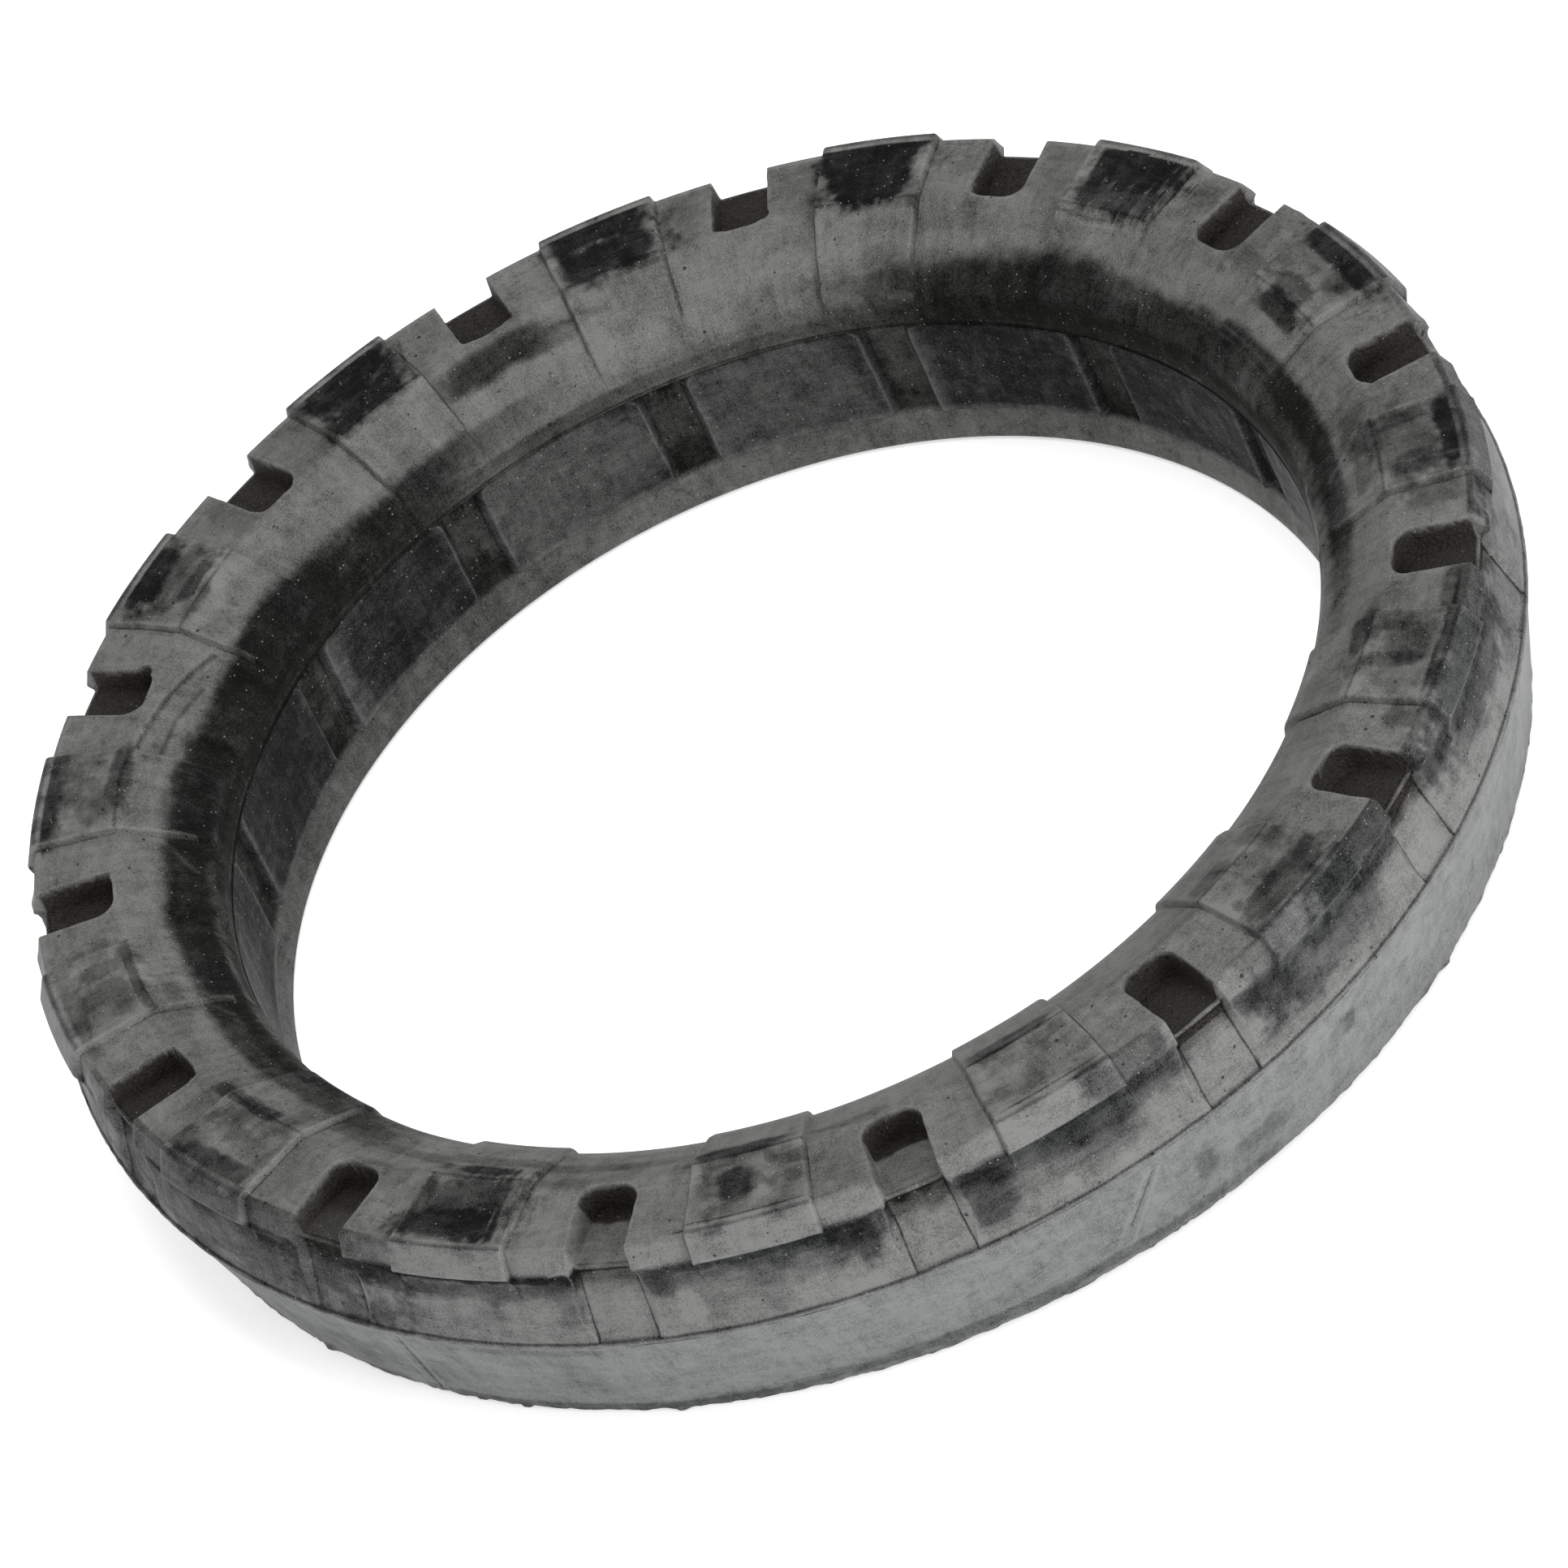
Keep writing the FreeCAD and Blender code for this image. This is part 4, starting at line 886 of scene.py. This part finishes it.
def rubber(name, tint=(1.0, 1.0, 1.0)):
    g = Graph(name)
    bloom_and_shading, soot, cool = g.attr("bloom_and_shading"), g.attr("soot"), g.attr("cool")
    pit = g.attr("pit")
    big = g.noise(14.0, 3.0, 0.55, distortion=0.6)
    mid = g.noise(3.2, 3.0, 0.6, distortion=0.3)
    fine = g.noise(0.55, 2.0, 0.6)
    grain = g.noise(0.34, 1.0, 0.5)
    # coordinates that run with the section, for wipe marks
    sp_ = g.t.nodes.new("ShaderNodeSeparateXYZ")
    g.t.links.new(g.pos, sp_.inputs[0])
    flat = g.t.nodes.new("ShaderNodeCombineXYZ")
    g.put(flat.inputs[0], sp_.outputs[0])
    g.put(flat.inputs[1], sp_.outputs[1])
    nrm = g.t.nodes.new("ShaderNodeVectorMath")
    nrm.operation = "NORMALIZE"
    g.t.links.new(flat.outputs[0], nrm.inputs[0])
    big_r = g.t.nodes.new("ShaderNodeVectorMath")
    big_r.operation = "SCALE"
    big_r.inputs["Scale"].default_value = 160.0
    g.t.links.new(nrm.outputs[0], big_r.inputs[0])
    ln = g.t.nodes.new("ShaderNodeVectorMath")
    ln.operation = "LENGTH"
    g.t.links.new(flat.outputs[0], ln.inputs[0])
    along = g.math("MULTIPLY", g.math("SUBTRACT", ln.outputs["Value"], sp_.outputs[2]), 0.22)
    off = g.t.nodes.new("ShaderNodeCombineXYZ")
    g.put(off.inputs[2], along)
    wipe_v = g.t.nodes.new("ShaderNodeVectorMath")
    wipe_v.operation = "ADD"
    g.t.links.new(big_r.outputs[0], wipe_v.inputs[0])
    g.t.links.new(off.outputs[0], wipe_v.inputs[1])
    wipe = g.noise(2.4, 3.0, 0.65, pos=wipe_v.outputs[0], distortion=0.5)
    # bloom with its painted shade and highlights, broken up at several scales
    rw = g.t.nodes.new("ShaderNodeVectorMath")
    rw.operation = "SCALE"
    rw.inputs["Scale"].default_value = 0.36
    g.t.links.new(big_r.outputs[0], rw.inputs[0])
    off2 = g.t.nodes.new("ShaderNodeCombineXYZ")
    g.put(off2.inputs[2], g.math("MULTIPLY", along, 5.0))
    round_v = g.t.nodes.new("ShaderNodeVectorMath")
    round_v.operation = "ADD"
    g.t.links.new(rw.outputs[0], round_v.inputs[0])
    g.t.links.new(off2.outputs[0], round_v.inputs[1])
    round_w = g.noise(2.6, 3.0, 0.6, pos=round_v.outputs[0], distortion=0.8)
    mot = g.math("MULTIPLY", g.math("SUBTRACT", mid, 0.5), 0.9)
    mot = g.math("ADD", mot, g.math("MULTIPLY", g.math("SUBTRACT", big, 0.5), 0.8))
    mot = g.math("ADD", mot, g.math("MULTIPLY", g.math("SUBTRACT", wipe, 0.5), 0.8))
    mot = g.math("ADD", mot, g.math("MULTIPLY", g.math("SUBTRACT", round_w, 0.5), 1.0))
    mot = g.math("ADD", mot, g.math("MULTIPLY", g.math("SUBTRACT", fine, 0.5), 0.9))
    mot = g.math("ADD", mot, g.math("MULTIPLY", g.math("SUBTRACT", grain, 0.5), 1.7))
    # mottling in proportion to the tone, so that black stays black
    b = g.math("ADD", bloom_and_shading, g.math("MULTIPLY", mot, g.math("MULTIPLY_ADD", bloom_and_shading, 0.72, 0.13)), clamp=True)
    dark, pale, blue = (0.0045, 0.0050, 0.0034), (0.1495, 0.1503, 0.1385), (0.172, 0.181, 0.183)
    col = g.mix(b, dark, pale)
    col = g.mix(g.math("MULTIPLY", cool, 0.9), col, g.mix(b, (0.0045, 0.0055, 0.0075), blue))
    # slot floors: brown-black, open texture
    col = g.mix(soot, col, g.mix(g.remap(fine, 0.35, 0.72), (0.0065, 0.0058, 0.0046), (0.036, 0.031, 0.024)))
    # salt-like specks and tiny pale dust
    sp = g.cells(0.9)
    spc = g.t.nodes.new("ShaderNodeSeparateColor")
    g.t.links.new(sp.outputs["Color"], spc.inputs[0])
    dust = g.math("MULTIPLY", g.math("LESS_THAN", spc.outputs[0], g.math("MULTIPLY_ADD", b, -0.050, 0.060)), g.math("LESS_THAN", sp.outputs["Distance"], 0.22))
    col = g.mix(g.math("MULTIPLY", dust, 0.55), col, (0.30, 0.30, 0.285))
    holes = pinholes(g, 2.6, g.math("MULTIPLY", pit, 0.16), 0.17)
    small = pinholes(g, 1.25, g.math("MULTIPLY", pit, 0.10), 0.2)
    hole = g.math("MAXIMUM", holes, small)
    col = g.mix(g.math("MULTIPLY", hole, 0.9), col, (0.006, 0.006, 0.006))
    g.put(g.bsdf.inputs["Base Color"], col)
    ro = g.remap(g.math("ADD", b, g.math("MULTIPLY", g.math("SUBTRACT", fine, 0.5), 0.5)), 0.0, 1.0, 0.50, 0.62)
    ro = g.math("ADD", ro, g.math("MULTIPLY", soot, 0.15), clamp=True)
    g.put(g.bsdf.inputs["Roughness"], ro)
    g.put(g.bsdf.inputs["Specular IOR Level"], g.remap(b, 0.05, 0.6, 0.02, 0.36))
    n = g.bump(g.math("MULTIPLY", g.attr("grain"), grain), 0.8, 0.00032)
    n = g.bump(mid, 0.35, 0.0006, n)
    n = g.bump(g.math("MULTIPLY", soot, g.noise(0.9, 3.0, 0.7)), 0.9, 0.0012, n)
    n = g.bump(g.math("SUBTRACT", 1.0, hole), 0.8, 0.0005, n)
    g.put(g.bsdf.inputs["Normal"], n)
    return g.mat


MAT = {
    "tread": rubber("tread_rubber_moulded"),
    "lug": rubber("lug_rubber_moulded"),
    "back": rubber("back_rubber_moulded"),
    "pad": rubber("pad_rubber_moulded"),
}


def plain(name, colour_a, colour_b, size, rough, metal=0.0, bump=0.0003):
    g = Graph(name)
    n1 = g.noise(size, 3.0, 0.6)
    g.put(g.bsdf.inputs["Base Color"], g.mix(g.remap(n1, 0.3, 0.7), colour_a, colour_b))
    g.put(g.bsdf.inputs["Roughness"], g.remap(n1, 0.2, 0.8, rough - 0.08, rough + 0.1))
    g.bsdf.inputs["Metallic"].default_value = metal
    g.put(g.bsdf.inputs["Normal"], g.bump(g.noise(size * 0.3, 2.0, 0.6), 0.4, bump))
    return g.mat


def cord_material(name, colour_a, colour_b, pitch, metal, rough):
    """Cords lying side by side round the ring, with a twist along each."""
    g = Graph(name)
    sep = g.t.nodes.new("ShaderNodeSeparateXYZ")
    g.t.links.new(g.pos, sep.inputs[0])
    round_ = g.math("ARCTAN2", sep.outputs[1], sep.outputs[0])
    across = g.math("PINGPONG", g.math("DIVIDE", sep.outputs[2], pitch), 0.5)
    twist = g.math("PINGPONG", g.math("ADD", g.math("MULTIPLY", round_, 160.0), g.math("DIVIDE", sep.outputs[2], pitch)), 0.5)
    h = g.math("ADD", g.math("MULTIPLY", across, 1.4), g.math("MULTIPLY", twist, 0.5))
    g.put(g.bsdf.inputs["Base Color"], g.mix(g.remap(h, 0.1, 0.8), colour_a, colour_b))
    g.put(g.bsdf.inputs["Roughness"], g.remap(g.noise(1.5), 0.2, 0.8, rough - 0.1, rough + 0.1))
    g.bsdf.inputs["Metallic"].default_value = metal
    g.put(g.bsdf.inputs["Normal"], g.bump(h, 0.8, 0.0006))
    return g.mat


INNER = {
    "core_ring": plain("core_rubber_black", (0.010, 0.010, 0.010), (0.026, 0.026, 0.025), 4.0, 0.7),
    "bead_hoop_front": cord_material("bead_wire_bronze", (0.16, 0.11, 0.07), (0.52, 0.42, 0.30), 1.3, 0.9, 0.38),
    "bead_hoop_back": cord_material("bead_wire_bronze_b", (0.16, 0.11, 0.07), (0.52, 0.42, 0.30), 1.3, 0.9, 0.38),
    "steel_cord_belt": cord_material("steel_cord_brass", (0.14, 0.12, 0.09), (0.50, 0.45, 0.34), 1.8, 0.9, 0.42),
    "textile_ply": cord_material("textile_cord_tan", (0.20, 0.16, 0.10), (0.58, 0.52, 0.40), 0.9, 0.0, 0.85),
}
for node, mat in INNER.items():
    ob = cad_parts[node]
    ob.data.materials.clear()
    ob.data.materials.append(mat)


def add_piece(name, verts, faces, attributes, mat, nodes):
    ob = mesh_object(name, verts, faces, attributes, weld=mat in ("lug", "pad"))
    ob.data.materials.append(MAT[mat])
    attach(ob, "root")
    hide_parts(*nodes)
    return ob


def full(shape, value=0.0):
    return np.full(shape, float(value))


# front cover
pts, info = SHAPES["cover"]
nc, nr = pts.shape[:2]
inside, sd, crease, brow, hand = (info[..., n] for n in range(5))
bloom_and_shading, k, rad, z = front_tone(pts, 0)
sc = scratches(k, rad, SCRATCHES, 63.0) * ((rad > 131) & (z > 40))
bloom_and_shading = bloom_and_shading * (1 + np.minimum(sc, 0)) + np.maximum(sc, 0) * 0.30
# pale rims beside the slots, a painted highlight on their rounded edges; dark inner corners
bloom_and_shading = bloom_and_shading + 0.14 * bump(sd, 0.75, 0.55) * (rad < 170) * (inside < 0.1) * (0.6 + 0.8 * noise(pts, 5.0, 232))
half_floor = smooth(0.82, 0.66, np.abs(near(k, 6.5)))
dark_floor = 1.0 - half_floor * smooth(155.6, 156.8, rad + 0.8 * noise(pts, 2.5, 215))
in_slot = smooth(0.02, 0.16, inside) * (rad < 169.7) * (z > 47.0)
soot = in_slot * dark_floor * (1 - 0.25 * smooth(158.0, 163.0, rad) * smooth(0.30, 0.15, np.abs(near(k, 8.0))))
# channel floors down the shoulder keep the bloom; painted shade darkens the drop face under the slot floor's edge,
# and a painted highlight runs along that edge
in_ch = smooth(0.75, 0.98, inside)
wavy_k = noise(pts, 4.0, 231)
lip = bump(z + 0.25 * wavy_k, 50.3, 1.0) * (rad > 168.8) * in_ch
channel_edge_highlight = bump(rad, 169.9, 0.6) * (z > 51.3) * (z < 53) * in_ch
bloom_and_shading = bloom_and_shading * (1 - 0.85 * lip) + 0.16 * channel_edge_highlight
# painted shade along the foot of the channel walls, painted light and shade on the walls by the side they face,
# painted highlights on the brows above them
wall_foot_shade = bump(crease + 0.10 * wavy_k, 0.05, 0.48) * (z > 31.8) * (z < 52.5)
shade_side = (hand < 0) * smooth(7.3, 7.7, k) * smooth(10.8, 10.4, k)
bloom_and_shading = bloom_and_shading * (1 - (0.80 + 0.15 * wavy_k) * wall_foot_shade * (1 - 0.7 * shade_side))
wall_side_shading = smooth(0.1, 0.5, crease) * smooth(0.15, -0.25, brow) * (z > 32.5) * (z < 52.0)
bloom_and_shading = bloom_and_shading + wall_side_shading * (0.08 + 0.18 * np.where(shade_side > 0.5, 1.0, hand) * smooth(32.5, 36.0, z) + 0.10 * wavy_k)
ridge_highlight = bump(brow, 0.05, 0.40) * (z > 33.0) * (z < 52.0)
bloom_and_shading = bloom_and_shading + 0.24 * ridge_highlight * (0.7 + 0.6 * wavy_k)
grain = 0.35 + 0.65 * smooth(151.0, 143.0, rad)
brown = 0.25 * smooth(0.34, 0.12, bloom_and_shading) * smooth(149.0, 146.0, rad) * smooth(41.0, 44.0, z) * smooth(-0.35, 0.35, noise(pts, 6.0, 241))
soot = np.maximum(soot, brown)
attrs = {"bloom_and_shading": np.clip(bloom_and_shading, 0, 1), "soot": np.clip(soot, 0, 1), "cool": 0.08 + 0.35 * smooth(169, 171, rad),
         "pit": full(rad.shape, 0.35), "grain": grain}
add_piece("front_tread_skin", pts.reshape(-1, 3), ring_faces(nc, nr), attrs, "tread", ["front_tread_cover"])

# lugs
for i, (tp, bt, ee, H, top) in enumerate(LUGS):
    n1, n2 = tp.shape[:2]
    b, k, rad, z = front_tone(tp, 1)
    sc = scratches(k, rad, SCRATCHES, 63.0)
    b = b * (1 + np.minimum(sc, 0)) + np.maximum(sc, 0) * 0.30
    # painted highlight along the rounded top edges of the lug
    edge = bump(ee, 0.75, 0.7) * (H > 0.5)
    b = b + 0.07 * edge * (rad > 137)
    # painted shade in the fillet at the lug's foot
    b = b * (1 - 0.75 * bump(ee, -0.30, 0.45) * smooth(134.5, 137.5, rad) * (0.75 + 0.5 * noise(tp, 9.0, 235)))
    blot = fbm(tp, 6.5, 251, 4)
    spot = smooth(0.22, 0.42, fbm(tp, 4.2, 253, 2)) * (rad > 146)
    tail_on = np.where(rad > 148, 1.0, 0.35) * (0.15 + 0.85 * smooth(56.5, 58.3, z + 8.0 * (rad < 165)))
    b = b * (1 + 0.75 * blot * tail_on) * (1 - 0.34 * spot * tail_on) + 0.05 * np.maximum(blot, 0) * tail_on
    # painted shade along the creases across the lug, at the end of its top and near its outer edge
    b = b * (1 - 0.55 * bump(rad, 150.7, 0.8) * (H > 0.4)) * (1 - 0.75 * bump(rad, 170.5, 0.75) * (z > 57.5) * (ee > 0.4))
    # painted highlight along one side of the lugs near pitch 10.2
    mid_k = (1.5 - i) % 15.0
    far_side = np.sign(np.arange(n1) - n1 // 2)[:, None]
    side_highlight = smooth(2.6, 1.9, abs(float(near(mid_k, 10.2)))) * (far_side > 0)
    b = b + 0.30 * side_highlight * bump(ee, 0.25, 0.65) * (rad > 134) * (0.75 + 0.5 * noise(tp, 6.0, 233))
    dark = 1 - np.clip(b / 0.66, 0, 1)
    brown = 0.25 * smooth(0.34, 0.12, b) * smooth(149.0, 146.0, rad) * smooth(41.0, 44.0, z) * smooth(-0.35, 0.35, noise(tp, 6.0, 241))
    a = {"bloom_and_shading": np.clip(b, 0, 1), "soot": brown, "cool": 0.12 + 0.30 * smooth(169, 171, rad) + 0.25 * dark,
         "pit": 0.5 + 0.5 * dark, "grain": 0.35 + 0.65 * smooth(151.0, 143.0, rad)}
    zz_ = {key: np.concatenate([v.ravel(), v.ravel()]) for key, v in a.items()}
    add_piece("lug_%02d_skin" % (i + 1), np.concatenate([tp.reshape(-1, 3), bt.reshape(-1, 3)]), slab_faces(n1, n2), zz_, "lug",
              ["tread_lug_%02d" % (i + 1)])

# back cover
pts, B, bk, pocket, relief = SHAPES["back"]
nc, nr = pts.shape[:2]
rad, zz = B[..., 1], B[..., 2]
zr = zz - 31.0
outer = smooth(163.0, 166.0, rad) * (zz < 31.2)
dk_, lt_ = paint(BACK_TONE, bk, zr, pts, streaks_upright(pts, zz), 0.8)
bo = (0.76 + 0.08 * fbm(pts * np.array([1.0, 1.0, 2.2]), 26.0, 302, 3) + 0.05 * fbm(streaks_upright(pts, zz), 5.0, 303, 3)) * (1 - dk_) + lt_ * 0.6
# painted highlight on the raised witness lines, painted shade in the sunken one
bo = bo + 0.34 * smooth(0.05, 0.2, relief) - 0.40 * smooth(-0.03, -0.12, relief)
# painted highlight along the flange edge below the parting line
bo = bo + 0.26 * bump(zz, 30.55, 0.6) * smooth(-0.4, 0.3, noise(pts, 18.0, 221))
bo = bo * (1 - 0.6 * smooth(1.5, 0.7, zz + 0.3 * noise(pts, 3.0, 308)))
dk_, lt_ = paint(BORE, bk, zr, pts, streaks_upright(pts, zz), 0.8)
bi = 0.075 + 0.04 * fbm(pts, 9.0, 304, 3)
bi = bi + 0.5 * lt_ * 0.5
bi = bi * (1 - 0.65 * dk_) * (1 - 0.5 * smooth(20.0, 13.0, zz) * (rad > 131.8))
lip = smooth(10.0, 8.2, zz) * (rad < 133)
lip_left = 1 - 0.40 * smooth(9.2, 10.2, bk) * smooth(13.2, 12.4, bk)
bi = bi * (1 - lip) + lip * lip_left * (0.50 + 0.12 * fbm(streaks_upright(pts, zz), 6.0, 305, 3))
bi = bi * (1 - 0.9 * pocket) + 0.30 * bump(pocket, 0.35, 0.33)
bloom_and_shading = outer * bo + (1 - outer) * bi
attrs = {"bloom_and_shading": np.clip(bloom_and_shading, 0.01, 1), "soot": 0.9 * pocket, "cool": 0.15 + 0.65 * outer, "pit": 0.06 + 0.3 * (1 - outer), "grain": full(rad.shape, 0.3)}
add_piece("back_skin", pts.reshape(-1, 3), ring_faces(nc, nr), attrs, "back", ["back_cover"])

# drive pads
for i, (tp, bt, e, H, top) in enumerate(PADS):
    n1, n2 = tp.shape[:2]
    theta = np.degrees(np.arctan2(tp[..., 1], tp[..., 0]))
    k = pitch_of(theta)
    zz = tp[..., 2]
    dk_, lt_ = paint(BORE, k, zz - 31.0, tp, streaks_upright(tp, zz), 0.8)
    b = (0.055 + 0.03 * fbm(tp, 11.0, 401, 3)) * (1 - 0.5 * dk_) + 0.5 * lt_
    # painted shadow in the groove at the pad's foot, painted highlight along the pad's edge
    b = b * (1 - 0.6 * smooth(-1.0, -1.6, e)) + 0.20 * bump(e, 0.0, 0.55) * (zz > 11) + 0.06 * bump(e, 0.3, 2.0)
    b = b + 0.18 * smooth(11.5, 9.5, zz)
    a = {"bloom_and_shading": np.clip(b, 0.01, 1), "soot": full(b.shape), "cool": full(b.shape, 0.35), "pit": full(b.shape, 0.12), "grain": full(b.shape, 0.25)}
    zz_ = {key: np.concatenate([v.ravel(), v.ravel()]) for key, v in a.items()}
    add_piece("pad_%02d_skin" % (i + 1), np.concatenate([tp.reshape(-1, 3), bt.reshape(-1, 3)]), slab_faces(n1, n2), zz_, "pad",
              ["drive_pad_%02d" % (i + 1)])

# ----------------------------------------------------------------------------
# Floor, lights and camera
# ----------------------------------------------------------------------------
scene = bpy.context.scene
scene.view_settings.view_transform = "Standard"
scene.view_settings.look = "None"
scene.view_settings.exposure = 0.0
scene.view_settings.gamma = 1.0

me = bpy.data.meshes.new("floor")
s = 6.0
me.from_pydata([(-s, -s, -0.0003), (s, -s, -0.0003), (s, s, -0.0003), (-s, s, -0.0003)], [], [(0, 1, 2, 3)])
floor = bpy.data.objects.new("floor", me)
scene.collection.objects.link(floor)
g = Graph("floor_pale")
g.put(g.bsdf.inputs["Base Color"], g.mix(g.remap(g.noise(400.0), 0.3, 0.7), (0.93, 0.93, 0.93), (0.95, 0.95, 0.95)))
g.bsdf.inputs["Roughness"].default_value = 0.9
g.bsdf.inputs["Specular IOR Level"].default_value = 0.1
g.bsdf.inputs["Emission Color"].default_value = (1.0, 1.0, 1.0, 1.0)
g.bsdf.inputs["Emission Strength"].default_value = 0.45
floor.data.materials.append(g.mat)

world = bpy.data.worlds.new("studio")
scene.world = world
world.use_nodes = True
bg = world.node_tree.nodes["Background"]
bg.inputs[0].default_value = (1.0, 1.0, 1.0, 1.0)
bg.inputs[1].default_value = 0.70

F, D, TX, TY, EL, ROLL = 15112.7499, 15.7535870, 0.0147556864, -0.0332013611, 0.714215707, -0.457565476
TH0 = 0.849680700
ZC, RR = 0.031, 0.175
spin = math.radians(48.0) - TH0
fw = np.array([0, math.cos(EL), -math.sin(EL)])
rt = np.array([1.0, 0, 0])
dn = np.cross(fw, rt)
rz = np.array([[math.cos(spin), -math.sin(spin), 0], [math.sin(spin), math.cos(spin), 0], [0, 0, 1]])
fw, rt, dn = rz @ fw, rz @ rt, rz @ dn
loc = np.array([0, 0, ZC]) + RR * (-TX * rt - TY * dn - D * fw)
c, s = math.cos(ROLL), math.sin(ROLL)
ax = c * rt - s * dn
ay = -(s * rt + c * dn)
az = -fw
cam = bpy.data.cameras.new("camera")
cam.sensor_width = 36.0
cam.sensor_fit = "HORIZONTAL"
cam.lens = F / 1932.0 * 36.0
cam.clip_start, cam.clip_end = 0.05, 40.0
cob = bpy.data.objects.new("camera", cam)
scene.collection.objects.link(cob)
cob.matrix_world = Matrix([[ax[0], ay[0], az[0], loc[0]], [ax[1], ay[1], az[1], loc[1]], [ax[2], ay[2], az[2], loc[2]], [0, 0, 0, 1]])
scene.camera = cob


def softbox(name, where, size, power, colour=(1, 1, 1)):
    """where: to the right, towards the camera's side and up, in metres."""
    la = bpy.data.lights.new(name, "AREA")
    la.shape = "RECTANGLE"
    la.size, la.size_y = size
    la.energy = power
    la.color = colour
    lo = bpy.data.objects.new(name, la)
    scene.collection.objects.link(lo)
    p = Vector((float(where[0]), float(where[1]), float(where[2])))
    lo.location = p
    lo.rotation_euler = (Vector((0, 0, 0.02)) - p).to_track_quat("-Z", "Y").to_euler()
    return lo


softbox("top_box", (0.3, 0.1, 1.7), (1.2, 1.2), 13.0)
softbox("key_box", (1.15, -1.7, 0.62), (0.7, 0.7), 26.0)
softbox("left_box", (-1.3, -0.4, 0.8), (0.7, 0.7), 2.0)
